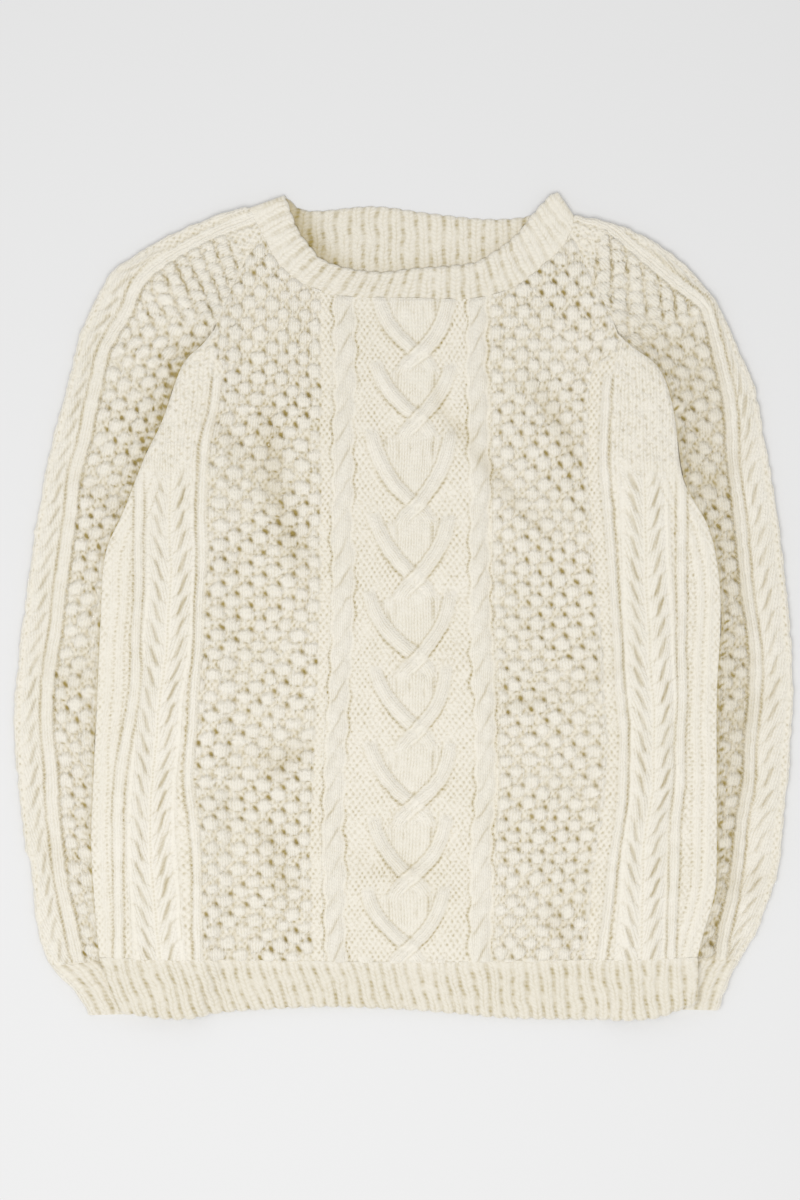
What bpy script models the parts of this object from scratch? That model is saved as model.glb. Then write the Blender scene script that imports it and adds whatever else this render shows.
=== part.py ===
"""Hand-knitted Aran pullover, laid flat on its back, its sleeves brought down and tucked under its sides.

All sizes below are in millimetres. A height is measured up from the lowest point of the hem, and
across is measured from the garment's middle line, positive to the right as seen from above.
The model's own frame has its origin under the middle of the laid garment, +Y towards the neck and +Z up.
"""
import math

import bmesh
import bpy
import numpy as np
from mathutils import Vector
from mathutils.geometry import delaunay_2d_cdt

# ---- driving dimensions -------------------------------------------------------------------------

MM = 0.001
LENGTH = 715.0  # the laid garment, hem to the top of the neckband
WALL = 3.0  # plain knitted cloth
GAP = 0.3  # between two layers, and inside a folded piece
SEAM = 0.4  # between two pieces that are joined edge to edge
STACK = 2 * WALL + GAP  # a piece folded flat
COVERED_RELIEF = 2.0  # what the stitches of a covered sleeve stand proud
COVERED_MARGIN = 12.0  # how near to the body's edge a sleeve's stitches are that low
LIFT = STACK + COVERED_RELIEF + GAP  # how far the body is raised by the sleeve under it

BOBBLE_HEIGHT = 4.0
BOBBLE_SPACING = 22.4
BOBBLE_ROW = 12.0
CABLE_HEIGHT = 3.5
ROPE_WIDTH = 19.0
ROPE_PITCH = 25.0
WHEAT_HALF_WIDTH = 20.0
WHEAT_PITCH = 20.6
WHEAT_TOP = 482.0  # above this height the wheat panels are plain
DIAMOND_STRAND = 15.5
DIAMOND_SPREAD = 35.0
RIB_HEIGHT = 2.2
RIB_WIDTH = 9.0
PLAIN_RIB_HEIGHT = 1.2
WELT_RIB_HEIGHT = 2.0  # hem, cuffs and neckband
WELT_RIB_PITCH = 11.5
SLEEVE_CABLE_WIDTH = 20.0
SLEEVE_CABLE_HEIGHT = 3.0
SLEEVE_RIB_WIDTH = 11.0
SIDE_RIB_WIDTH = 8.0  # the rib beside each side edge of the front
COVERED_SHARE = 0.58  # how much of a cuff's width the hem hides, which is plain
CUFF_RIB_SHARE = 0.95  # of the hem's rib height
INNER_GROOVE_SHARE = 0.4  # of that height, for the grooves inside the neck

EDGE_STEP = 12.0  # distance between the points of a long edge
NECK_STEP = 6.0
SIDE_ROLL = 1.8  # how far a free side edge rounds down
ROLL_WIDTH = 3.0
POINT_SPACING = 2.6  # no two points of a face are closer than this
SHARP_ANGLE = 12.0  # degrees, between faces that are shaded as an edge
SEAM_DROP = 0.3  # how far a sewn edge rounds down
SLEEVE_SKIN = 0.5  # the lowest relief of a sleeve's stitches, away from its edges
FOLD_ANGLES = (45, 90, 135)  # degrees from the top, where a rounded fold has points
SLOT_END = 0.5  # how far the slot in a folded band runs out past the place where it turns

WOOL_COLOUR = (0.83, 0.78, 0.67, 1.0)
WOOL_ROUGHNESS = 0.9

# ---- edges, each a smooth line through its rows -------------------------------------------------

# height, across
RAGLAN_LEFT = ((679, -122), (646, -141), (611, -156), (594, -162))
RAGLAN_RIGHT = ((679, 144), (654, 156), (620, 172), (590, 184))
SIDE_LEFT = (
    (594, -162), (581, -173), (563, -190), (516, -207), (485, -222), (439, -240), (401, -256),
    (345, -260), (276, -263), (190, -267), (147, -268), (87, -264), (55, -261),
)
SIDE_RIGHT = (
    (590, 184), (577, 200), (565, 216), (547, 226), (517, 233), (466, 240), (424, 262), (380, 271),
    (336, 272), (276, 269), (147, 269), (110, 267), (78, 258), (55, 252),
)
FOLD_LEFT = (
    (700, -133), (694, -156), (685, -180), (673, -207), (661, -228), (644, -251), (617, -266), (587, -279),
    (538, -291), (491, -304), (438, -314), (398, -320), (347, -327), (282, -334), (242, -335), (212, -332),
    (153, -326), (130, -320), (95, -317), (67, -312), (47, -304),
)
FOLD_RIGHT = (
    (693, 147), (685, 184), (670, 216), (648, 245), (630, 260), (605, 276), (575, 289), (545, 302),
    (497, 311), (479, 315), (402, 326), (345, 332), (292, 335), (255, 334), (211, 331), (164, 326),
    (127, 322), (87, 308), (71, 301), (51, 288),
)
# The sleeves' own seams, hidden under the body.
SEAM_LEFT = ((594, -162), (551, -161), (491, -163), (362, -165), (233, -166), (121, -172), (61, -175))
SEAM_RIGHT = ((590, 184), (491, 182), (362, 179), (233, 179), (121, 182), (61, 188))
CUFF_SEAM_LEFT = ((61, -175), (7, -186))
CUFF_SEAM_RIGHT = ((61, 188), (11, 193))

# across, height
HEM_SEAM = ((-261, 55), (-190, 53), (-90, 51), (0, 50), (100, 51), (190, 53), (252, 55))
HEM_EDGE = (
    (-243, 7), (-205, 2), (-183, 2), (-149, 7), (-72, 11), (-3, 9), (49, 5), (100, 1), (203, 1),
    (238, 10), (252, 15),
)
NECK_FRONT_SEAM = (
    (-133, 700), (-122, 679), (-109, 653), (-89, 636), (-70, 628), (-47, 623), (10, 622), (49, 621),
    (74, 624), (96, 632), (117, 648), (135, 664), (144, 679), (147, 693),
)
NECK_FRONT_EDGE = (
    (-102, 711), (-96, 695), (-90, 680), (-80, 667), (-70, 656), (-47, 648), (-18, 645), (9, 648),
    (37, 650), (60, 653), (76, 661), (97, 677), (112, 696), (125, 710), (132, 715),
)
NECK_BACK_SEAM = (
    (-133, 700), (-122, 679), (-106, 671), (-89, 668), (-46, 669), (10, 667), (74, 662), (109, 665),
    (131, 672), (144, 679), (147, 693),
)
NECK_BACK_EDGE = (
    (-102, 711), (-89, 700), (-72, 698), (-25, 702), (23, 696), (74, 691), (109, 694), (122, 703),
    (132, 715),
)

# How the body slopes down from the tucked sleeves: distance inward of a sleeve's seam, share of the lift.
SLOPE = ((3, 1.0), (8, 0.88), (15, 0.5), (22, 0.12), (27, 0.0))
# Height, and the share of the lift there: the slope fades out towards the shoulders.
SHOULDER_FADE = ((598, 1.0), (608, 0.88), (624, 0.5), (640, 0.12), (650, 0.0))
# The same for a sleeve's upper layer beside the raglan seam: by height, and by distance from the seam.
RAGLAN_RISE = ((592, 0.0), (604, 0.35), (614, 0.6), (624, 0.5), (640, 0.12), (650, 0.0))
RAGLAN_FALL = ((0, 1.0), (9, 0.8), (20, 0.3), (32, 0.0))

# ---- columns of stitches on the front -----------------------------------------------------------

# height, then where each column runs across: outer rib, wheat cable, inner rib and rope cable of the
# left half, the middle, and the same of the right half
FRONT_COLUMNS = (
    (625, -226, -200, -155, -51, 13, 64, 183, 205, 240),
    (594, -226, -200, -157, -51, 13, 64, 181, 205, 240),
    (534, -226, -200, -161, -51, 13, 64, 174, 205, 240),
    (482, -227, -200, -171, -52, 12, 65, 173, 205, 240),
    (362, -228, -200, -174, -52, 11, 66, 181, 209, 238),
    (276, -232, -209, -179, -56, 12, 69, 187, 213, 239),
    (211, -243, -215, -184, -59, 11, 71, 188, 215, 237),
    (147, -245, -216, -179, -60, 8, 68, 180, 207, 232),
    (45, -243, -208, -176, -58, 4, 66, 170, 203, 229),
)
COLUMN_NAMES = (
    "outer_rib_left", "wheat_left", "inner_rib_left", "rope_left", "middle",
    "rope_right", "inner_rib_right", "wheat_right", "outer_rib_right",
)
# Heights at which the two strands of the middle cable cross.
DIAMOND_CROSSINGS = (63, 123, 184, 250, 313, 380, 445, 518, 574, 640)
# Heights at which the front's stitches start above the hem, and where each kind ends.
FRONT_LOW = 58.0
ROPE_TOP = 640.0
INNER_RIB_TOP = 590.0
OUTER_RIB_TOP = 455.0
SIDE_RIB_TOP = 400.0
FRONT_BOBBLE_TOP = 655.0
SIDE_RIB_INSET = 10.0  # from the side edge to the middle of its rib
ROPE_TO_BOBBLES = 15.0  # from the middle of a rope cable to the bobble lattice
RIB_TO_BOBBLES = 8.0  # from the middle of an inner rib to the bobble lattice
FREE_SIDE = (57.0, 588.0)  # the heights between which a side edge isn't sewn

# The double rib along each sleeve: height, across.
SLEEVE_RIB_LEFT = (
    (679, -162), (663, -192), (639, -224), (613, -237), (591, -251), (574, -259), (541, -266), (500, -275),
    (458, -284), (391, -292), (315, -302), (273, -307), (211, -304), (167, -300), (122, -295), (60, -281),
)
SLEEVE_RIB_RIGHT = (
    (685, 175), (660, 203), (639, 230), (620, 255), (609, 263), (571, 271), (532, 281), (488, 284),
    (435, 289), (380, 295), (315, 302), (276, 302), (190, 294), (121, 284), (60, 274),
)

# Heights on the sleeves.
SLEEVE_LOW = 60.0
SLEEVE_CABLE_TOP = 640.0
SLEEVE_BOBBLE_TOP = 672.0
SHOULDER = 591.0  # above it the columns of bobbles run straight up, and end at the raglan seam
SLEEVE_COLUMNS = range(-1, 12)  # numbers of the columns, counted in from the first beside the rib
FIRST_COLUMN = 14.0  # from the middle of the double rib to the first column
CLEAR_OF_RIB = 9.0
CLEAR_OF_EDGE = 4.0  # from the body's edge or the raglan seam
LOW_LINES = (2.0, -10.0)  # how far outside the body's edge a sleeve's relief is held low


# ---- lines --------------------------------------------------------------------------------------

def smooth_line(points, step):
    """A Catmull-Rom line through the points, with a point about every step."""
    knots = np.array(points, float)
    knots = np.vstack([2 * knots[0] - knots[1], knots, 2 * knots[-1] - knots[-2]])
    stretches = []
    for a, b, c, d in zip(knots, knots[1:], knots[2:], knots[3:]):
        t = np.linspace(0, 1, 12, endpoint=False)[:, None]
        cubic = 3 * b - a - 3 * c + d
        square = 2 * a - 5 * b + 4 * c - d
        stretches.append(b + 0.5 * ((c - a) * t + square * t**2 + cubic * t**3))
    dense = np.vstack(stretches + [knots[-2:-1]])
    return resample(dense, max(1, round(length_of(dense) / step)))


def length_of(line):
    """How long a line is."""
    return float(np.linalg.norm(np.diff(line, axis=0), axis=1).sum())


def resample(line, count):
    """The same line in that many equal parts."""
    along = np.concatenate([[0], np.cumsum(np.linalg.norm(np.diff(line, axis=0), axis=1))])
    wanted = np.linspace(0, along[-1], count + 1)
    return np.column_stack([np.interp(wanted, along, line[:, 0]), np.interp(wanted, along, line[:, 1])])


def upright(rows, step=EDGE_STEP):
    """A smooth line from rows of height and across, as points across and along the garment."""
    return smooth_line([(across, height - LENGTH / 2) for height, across in rows], step)


def level(rows, step=NECK_STEP):
    """A smooth line from rows of across and height."""
    return smooth_line([(across, height - LENGTH / 2) for across, height in rows], step)


def across_at(line, y):
    """Where a line that runs up the garment lies across, at each y."""
    order = np.argsort(line[:, 1])
    return np.interp(y, line[order, 1], line[order, 0])


def from_height(height):
    """A height above the hem as the model's y."""
    return height - LENGTH / 2


def columns():
    """Each column of stitches on the front, by its name, as a line up the garment."""
    table = np.array(FRONT_COLUMNS, float)
    return {
        name: upright(np.column_stack([table[:, 0], table[:, i + 1]]))
        for i, name in enumerate(COLUMN_NAMES)
    }


# ---- how the body lies over the sleeves ---------------------------------------------------------

def sleeve_seam(rows, cuff_rows):
    """The hidden seam of a sleeve and its cuff, as one line."""
    return upright(rows + cuff_rows[1:])


HIDDEN_LEFT = sleeve_seam(SEAM_LEFT, CUFF_SEAM_LEFT)
HIDDEN_RIGHT = sleeve_seam(SEAM_RIGHT, CUFF_SEAM_RIGHT)


def lift(x, y):
    """How far the back's underside is raised there by the sleeves that lie under it."""
    inward = np.minimum(x - across_at(HIDDEN_LEFT, y), across_at(HIDDEN_RIGHT, y) - x)
    distance, share = np.array(SLOPE).T
    height, fade = np.array(SHOULDER_FADE).T
    return LIFT * np.interp(inward, distance, share) * np.interp(y, from_height(height), fade)


def slope_lines():
    """The lines along which the body's slope changes, on both sides."""
    heights = [float(height) for height, _ in SHOULDER_FADE]
    y = from_height(np.array([-10.0, 7, 61, 121, 233, 362, 491, 551] + heights))
    lines = []
    for distance, _ in SLOPE:
        lines.append(np.column_stack([across_at(HIDDEN_LEFT, y) + distance, y]))
        lines.append(np.column_stack([across_at(HIDDEN_RIGHT, y) - distance, y]))
    return lines


# ---- flat triangulations ------------------------------------------------------------------------

def inset(outline, distance):
    """A closed outline, run round anticlockwise, moved inwards by a small distance."""
    before = outline - np.roll(outline, 1, axis=0)
    after = np.roll(outline, -1, axis=0) - outline
    normals = []
    for edge in (before, after):
        unit = edge / np.linalg.norm(edge, axis=1)[:, None]
        normals.append(np.column_stack([-unit[:, 1], unit[:, 0]]))
    middle = normals[0] + normals[1]
    middle /= np.linalg.norm(middle, axis=1)[:, None]
    reach = distance / np.maximum((middle * normals[0]).sum(axis=1), 0.4)
    return outline + middle * reach[:, None]


def distance_to(points, outline):
    """How far each point is from a closed outline."""
    start, end = outline, np.roll(outline, -1, axis=0)
    edge = end - start
    offset = points[:, None, :] - start[None]
    share = (offset * edge[None]).sum(axis=2) / (edge * edge).sum(axis=1)[None]
    nearest = start[None] + np.clip(share, 0, 1)[..., None] * edge[None]
    return np.linalg.norm(points[:, None, :] - nearest, axis=2).min(axis=1)


def inside(points, outline):
    """Which points a closed outline holds."""
    x, y = points[:, 0][:, None], points[:, 1][:, None]
    start, end = outline, np.roll(outline, -1, axis=0)
    spans = (start[:, 1][None] > y) != (end[:, 1][None] > y)
    rise = np.where(end[:, 1] == start[:, 1], 1e-9, end[:, 1] - start[:, 1])
    crossing = start[:, 0] + (y - start[:, 1]) / rise * (end[:, 0] - start[:, 0])
    return (spans & (x < crossing)).sum(axis=1) % 2 == 1


def thinned(points, outline, clearance):
    """The points that lie in an outline, clear of it and of each other; earlier ones come first."""
    points = points[inside(points[:, :2], outline)]
    points = points[distance_to(points[:, :2], outline) > clearance]
    kept = np.empty((0, points.shape[1]))
    for point in points:
        if len(kept) == 0 or np.hypot(*(kept[:, :2] - point[:2]).T).min() > POINT_SPACING:
            kept = np.vstack([kept, point])
    return kept


def triangulate(outline, points=(), lines=(), ties=()):
    """Triangles that fill an outline, use the loose points and keep to the lines and ties.

    A tie joins two of the loose points, and is left out if either of them isn't there.

    Gives the points, the triangles and the numbers of the outline's points in order, which include
    the places where a line crosses it.
    """
    places = [Vector(p) for p in outline] + [Vector(p[:2]) for p in points]
    edges = []
    for line in lines:
        first = len(places)
        places += [Vector(p) for p in line]
        edges += [(first + i, first + i + 1) for i in range(len(line) - 1)]
    number = {tuple(np.round(p[:2], 3)): len(outline) + i for i, p in enumerate(points)}
    for tie in ties:
        ends = [number.get(tuple(np.round(end, 3))) for end in tie]
        if None not in ends:
            edges.append(tuple(ends))
    border = [list(range(len(outline)))]
    found, _, faces, _, _, face_from = delaunay_2d_cdt(places, edges, border, 1, 1e-5)
    faces = [face for face, origin in zip(faces, face_from) if origin]
    used = sorted({i for face in faces for i in face})
    number = {old: new for new, old in enumerate(used)}
    faces = [[number[i] for i in face] for face in faces]
    flat = np.array([tuple(found[i]) for i in used])
    sides = {(a, b) for face in faces for a, b in zip(face, face[1:] + face[:1])}
    rim = {a: b for a, b in sides if (b, a) not in sides}
    start = min(rim, key=lambda i: np.hypot(*(flat[i] - outline[0])))
    ring = [start]
    while rim[ring[-1]] != start:
        ring.append(rim[ring[-1]])
    return flat, faces, ring


# ---- relief: rows of x, y, height above the plain cloth -----------------------------------------

def row_ties(points):
    """Ties from each point of a row to the next."""
    return [(tuple(a[:2]), tuple(b[:2])) for a, b in zip(points, points[1:])]


def rib(line, width=RIB_WIDTH, height=RIB_HEIGHT, step=22.0):
    """A rib along a line: its crest and the grooves beside it, each tied along its length."""
    rows = resample(line, max(2, round(length_of(line) / step)))
    half = np.array([width / 2, 0])
    points, ties = [], []
    for side, rise_there in ((0, height), (-1, 0.0), (1, 0.0)):
        stretch = np.column_stack([rows + side * half, np.full(len(rows), rise_there)])
        points.append(stretch)
        ties += row_ties(stretch)
    return np.vstack(points), ties


def rope(line, width=ROPE_WIDTH, pitch=ROPE_PITCH, height=CABLE_HEIGHT):
    """A rope cable: strands that lean up to the right, one above the other."""
    slant = 0.55 * pitch / width
    # across in widths, up in pitches, share of the height
    strand = ((-0.36, 0, 0.75), (0, 0, 1.0), (0.36, 0, 0.75), (-0.2, 0.5, 0.25), (0.2, 0.5, 0.25))
    low, high = line[:, 1].min(), line[:, 1].max()
    points, ties = [], []
    for y in np.arange(low + pitch / 2, high, pitch):
        for across, up, share in strand:
            py = y + up * pitch + across * width * slant
            points.append((across_at(line, py) + across * width, py, share * height))
    edge_y = np.arange(low, high, pitch / 2)
    for side in (-0.55, 0.55):
        groove = [(across_at(line, y) + side * width, y, 0.0) for y in edge_y]
        points += groove
        ties += row_ties(groove)
    return np.array(points), ties


def wheat(line, low, high, half=WHEAT_HALF_WIDTH, pitch=WHEAT_PITCH, height=CABLE_HEIGHT):
    """A wheat cable: pairs of strands that spread upwards from a middle stem."""
    # across in half widths, up in pitches, share of the height
    strand = ((0.3, 0.15, 0.7), (0.72, 0.55, 1.0), (0.3, 0.62, 0.3), (0.72, 1.05, 0.35), (1.08, 0.4, 0))
    points = []
    for y in np.arange(low, high, pitch):
        points.append((across_at(line, y), y, 0.35 * height))
        for side in (-1, 1):
            for across, up, share in strand:
                py = y + up * pitch
                points.append((across_at(line, py) + side * across * half, py, share * height))
    return np.array(points)


def bobbles(left, right, low, high):
    """Bobbles between two lines: each row is offset by half a bobble from the one below it.

    Gives the points, and the hollows to be tied to each other so that each bobble stands alone.
    """
    middle = (low + high) / 2
    width = across_at(right, middle) - across_at(left, middle)
    count = max(1, round(width / (BOBBLE_SPACING / 2)))
    lattice = {}
    for row, y in enumerate(np.arange(low, high, BOBBLE_ROW)):
        start, end = across_at(left, y), across_at(right, y)
        for i in range(count):
            height = BOBBLE_HEIGHT if (row + i) % 2 == 0 else 0.0
            lattice[row, i] = (start + (end - start) * (i + 0.5) / count, y, height)
    return np.array(list(lattice.values())), hollow_ties(lattice)


def hollow_ties(lattice):
    """The pairs of neighbouring hollows in a lattice of bobbles."""
    ties = []
    for row, i in lattice:
        if (row + i) % 2 == 0:
            continue
        for other in ((row + 1, i + 1), (row + 1, i - 1)):
            if other in lattice:
                ties.append((lattice[row, i][:2], lattice[other][:2]))
    return ties


def diamond(middle):
    """The middle cable: two strands that cross, part and cross again, the one leaning right on top."""
    crossings = from_height(np.array(DIAMOND_CROSSINGS, float))
    points, ties = [], []
    for low, high in zip(crossings, crossings[1:]):
        parting = np.linspace(0, 1, 7)[1:-1]
        ends = [(across_at(middle, y), y, CABLE_HEIGHT + 0.5) for y in (low, high)]
        for side in (-1, 1):
            y = low + parting * (high - low)
            x = across_at(middle, y) + side * DIAMOND_SPREAD * np.sin(math.pi * parting) ** 0.75
            crest = [(px, py, CABLE_HEIGHT) for px, py in zip(x, y)]
            crest = [ends[0]] + crest if side > 0 else crest + [ends[1]]
            points += crest
            ties += row_ties(crest)
            for edge in (-0.5, 0.5):
                groove = [(px + edge * DIAMOND_STRAND, py, 0.0) for px, py in zip(x, y)]
                points += groove
                ties += row_ties(groove)
        for share in (0.3, 0.5, 0.7):
            y = low + share * (high - low)
            points.append((across_at(middle, y), y, PLAIN_RIB_HEIGHT))
    return np.array(points), ties


def shifted(line, across):
    """A line moved across."""
    return line + np.array([across, 0.0])


def between(line, low, high):
    """The stretch of a line between two y, with a point at each end."""
    y = np.linspace(low, high, max(2, round((high - low) / EDGE_STEP)) + 1)
    return np.column_stack([across_at(line, y), y])


def front_relief():
    """Every raised form of the front panel."""
    column = columns()
    low, high = from_height(FRONT_LOW), from_height(ROPE_TOP)
    wheat_high = from_height(WHEAT_TOP)
    side = {"left": upright(SIDE_LEFT), "right": upright(SIDE_RIGHT)}
    parts, ties = [], []

    def add(made):
        parts.append(made[0])
        ties.extend(made[1])

    add(diamond(column["middle"]))
    for name, sign in (("left", -1), ("right", 1)):
        rope_line = column["rope_" + name]
        add(rope(between(rope_line, low, high)))
        parts.append(wheat(column["wheat_" + name], low, wheat_high))
        inner_rib, outer_rib = column["inner_rib_" + name], column["outer_rib_" + name]
        add(rib(between(inner_rib, low, from_height(INNER_RIB_TOP))))
        add(rib(between(outer_rib, low, from_height(OUTER_RIB_TOP)), height=PLAIN_RIB_HEIGHT))
        side_rib = shifted(between(side[name], low, from_height(SIDE_RIB_TOP)), -sign * SIDE_RIB_INSET)
        add(rib(side_rib, width=SIDE_RIB_WIDTH, height=PLAIN_RIB_HEIGHT))
        edges = (shifted(rope_line, sign * ROPE_TO_BOBBLES), shifted(inner_rib, -sign * RIB_TO_BOBBLES))
        edges = sorted(edges, key=lambda line: across_at(line, low))
        add(bobbles(edges[0], edges[1], low, from_height(FRONT_BOBBLE_TOP)))
        roll = shifted(side[name], -sign * ROLL_WIDTH)
        parts.append(np.column_stack([roll, np.zeros(len(roll))]))
    return np.vstack(parts), ties


def sleeve_relief(fold, rib_line, body_side, raglan):
    """The raised forms of the half of a sleeve that shows."""
    sign = 1.0 if fold[:, 0].mean() > 0 else -1.0
    low = from_height(SLEEVE_LOW)
    parts = []
    for off_side in LOW_LINES:
        line = shifted(body_side, sign * off_side)
        parts.append(np.column_stack([line, np.full(len(line), COVERED_RELIEF / 2)]))
    ridge, ties = rib(rib_line, width=SLEEVE_RIB_WIDTH)
    parts.append(ridge)
    outer = np.column_stack([(across_at(fold, rib_line[:, 1]) + rib_line[:, 0]) / 2, rib_line[:, 1]])
    steep = shifted(outer[outer[:, 1] < from_height(SLEEVE_CABLE_TOP)], -sign)
    cable, cable_ties = rope(steep, SLEEVE_CABLE_WIDTH, WHEAT_PITCH, SLEEVE_CABLE_HEIGHT)
    parts.append(cable)
    ties += cable_ties
    # The bobbles stand in columns that start at the rib; above the shoulder they run straight up.
    shoulder = from_height(SHOULDER)
    start = across_at(rib_line, np.minimum(rib_line[:, 1], shoulder)) - sign * FIRST_COLUMN
    column = np.column_stack([start, rib_line[:, 1]])
    rows = np.arange(low, from_height(SLEEVE_BOBBLE_TOP), BOBBLE_ROW)
    edge = np.where(rows < shoulder, across_at(body_side, rows), across_at(raglan, rows))
    lattice = {}
    for row, y in enumerate(rows):
        limit = sign * edge[row]
        outer_limit = sign * across_at(rib_line, y) - CLEAR_OF_RIB
        for i in SLEEVE_COLUMNS:
            x = across_at(column, y) - sign * i * BOBBLE_SPACING / 2
            height = BOBBLE_HEIGHT if sign * x > limit + COVERED_MARGIN else COVERED_RELIEF * 0.8
            if limit + CLEAR_OF_EDGE < sign * x < outer_limit:
                lattice[row, i] = (x, y, height if (row + i) % 2 == 0 else 0.0)
    parts.append(np.array(list(lattice.values())))
    return np.vstack(parts), ties + hollow_ties(lattice)


# ---- meshes -------------------------------------------------------------------------------------

def add_surface(bm, flat, faces, ring, heights, up):
    """One side of a cloth. Gives its vertices round the outline, in order."""
    verts = [bm.verts.new((x * MM, y * MM, z * MM)) for (x, y), z in zip(flat, heights)]
    for face in faces:
        corners = [verts[i] for i in face]
        bm.faces.new(corners if up else corners[::-1])
    return [verts[i] for i in ring]


def add_strip(bm, one, other, closed):
    """Faces between two rows of vertices."""
    pairs = list(zip(one, other))
    following = pairs[1:] + pairs[:1] if closed else pairs[1:]
    for (a, b), (c, d) in zip(pairs, following):
        bm.faces.new((a, c, d, b))


def finish_mesh(bm, name):
    """Makes the object of a closed mesh, with its faces turned outwards."""
    bmesh.ops.recalc_face_normals(bm, faces=bm.faces[:])
    mesh = bpy.data.meshes.new(name)
    bm.to_mesh(mesh)
    bm.free()
    piece = bpy.data.objects.new(name, mesh)
    bpy.context.scene.collection.objects.link(piece)
    mesh.materials.append(wool(name))
    mesh.shade_smooth()
    mesh.set_sharp_from_angle(angle=math.radians(SHARP_ANGLE))
    return piece


def wool(name):
    """Undyed wool: a dull cream with no shine."""
    material = bpy.data.materials.new(name + " wool")
    material.use_nodes = True
    shader = material.node_tree.nodes["Principled BSDF"]
    shader.inputs["Base Color"].default_value = WOOL_COLOUR
    shader.inputs["Roughness"].default_value = WOOL_ROUGHNESS
    shader.inputs["Metallic"].default_value = 0.0
    return material


def panel(name, outline, base, relief, ties, edge_drop):
    """A knitted panel: a wall on its base, plain below and raised above by its relief."""
    outline = inset(outline, SEAM / 2)
    flat, faces, ring = triangulate(outline, lines=slope_lines())
    border = flat[ring]
    under = base + lift(flat[:, 0], flat[:, 1])
    points = thinned(relief, border, POINT_SPACING)
    top_flat, top_faces, top_ring = triangulate(border, points, ties=ties)
    raised = heights_of(points, top_flat, 0.0)
    over = base + lift(top_flat[:, 0], top_flat[:, 1]) + WALL + raised
    over[top_ring] -= edge_drop(top_flat[top_ring])
    bm = bmesh.new()
    low_ring = add_surface(bm, flat, faces, ring, under, up=False)
    high_ring = add_surface(bm, top_flat, top_faces, top_ring, over, up=True)
    add_strip(bm, low_ring, high_ring, closed=True)
    return finish_mesh(bm, name)


def neck_line(rows, seam=True):
    """An edge of the neckband, stopped where the band starts to turn at each fold.

    A seam has a corner at each raglan seam, and is straight from there to the fold.
    """
    points = np.array([(across, from_height(height)) for across, height in rows], float)
    points[0] -= unit(points[0] - points[1]) * STACK / 2
    points[-1] -= unit(points[-1] - points[-2]) * STACK / 2
    if not seam:
        return smooth_line(points, 1.0)
    ends = [resample(points[:2], 20), resample(points[-2:], 20)]
    return np.vstack([ends[0][:-1], smooth_line(points[1:-1], 1.0), ends[1][1:]])


def neck_stretch(line, start, end):
    """The part of a neckband's seam between two places across."""
    part = line[(line[:, 0] >= start - 0.01) & (line[:, 0] <= end + 0.01)]
    return resample(part, max(2, round(length_of(part) / NECK_STEP)))


def heights_of(points, flat, plain):
    """The relief of each place in a triangulation, which is plain where no point gives it."""
    raised = np.full(len(flat), plain)
    for x, y, height in points:
        raised[np.hypot(flat[:, 0] - x, flat[:, 1] - y).argmin()] = height
    return raised


def body_outline(neck_rows):
    """The edge of a body panel, run round anticlockwise from the left end of the hem's seam."""
    hem = level(HEM_SEAM, EDGE_STEP)
    right = upright(SIDE_RIGHT)[::-1]
    raglan_right = upright(RAGLAN_RIGHT, NECK_STEP)[::-1]
    neck = neck_stretch(neck_line(neck_rows), RAGLAN_LEFT[0][1] + 1.0, RAGLAN_RIGHT[0][1] - 1.0)[::-1]
    raglan_left = upright(RAGLAN_LEFT, NECK_STEP)
    left = upright(SIDE_LEFT)
    return np.vstack([hem[:-1], right[:-1], raglan_right, neck[1:-1], raglan_left[:-1], left[:-1]])


def side_drop(border):
    """How far each point of a body panel's edge rounds down: most along its free sides."""
    x, y = border.T
    left, right = upright(SIDE_LEFT), upright(SIDE_RIGHT)
    off_side = np.minimum(np.abs(x - across_at(left, y)), np.abs(x - across_at(right, y)))
    low, high = (from_height(height) for height in FREE_SIDE)
    free = (off_side < 2.0) & (y < high) & (y > low)
    return np.where(free, SIDE_ROLL, SEAM_DROP)


def make_body():
    """The front panel over the back panel."""
    relief, ties = front_relief()
    panel("front", body_outline(NECK_FRONT_SEAM), WALL + GAP, relief, ties, side_drop)
    panel("back", body_outline(NECK_BACK_SEAM), 0.0, back_points(), [], no_drop)


def no_drop(border):
    """An edge that doesn't round down."""
    return np.zeros(len(border))


def back_points():
    """Points of the back panel's upper side, which is plain and follows the slopes."""
    rows = [np.column_stack([line, np.zeros(len(line))]) for line in slope_lines()]
    return np.vstack(rows)


# ---- folded pieces ------------------------------------------------------------------------------

def fold_arc(bm, place, outward, low, high):
    """The vertices of a rounded fold, from the top down, outside the place where the layers turn."""
    radius = (high - low) / 2
    arc = []
    for angle in FOLD_ANGLES:
        turn = math.radians(angle)
        x, y = place + outward * radius * math.sin(turn)
        arc.append(bm.verts.new((x * MM, y * MM, (low + radius + radius * math.cos(turn)) * MM)))
    return arc


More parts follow.
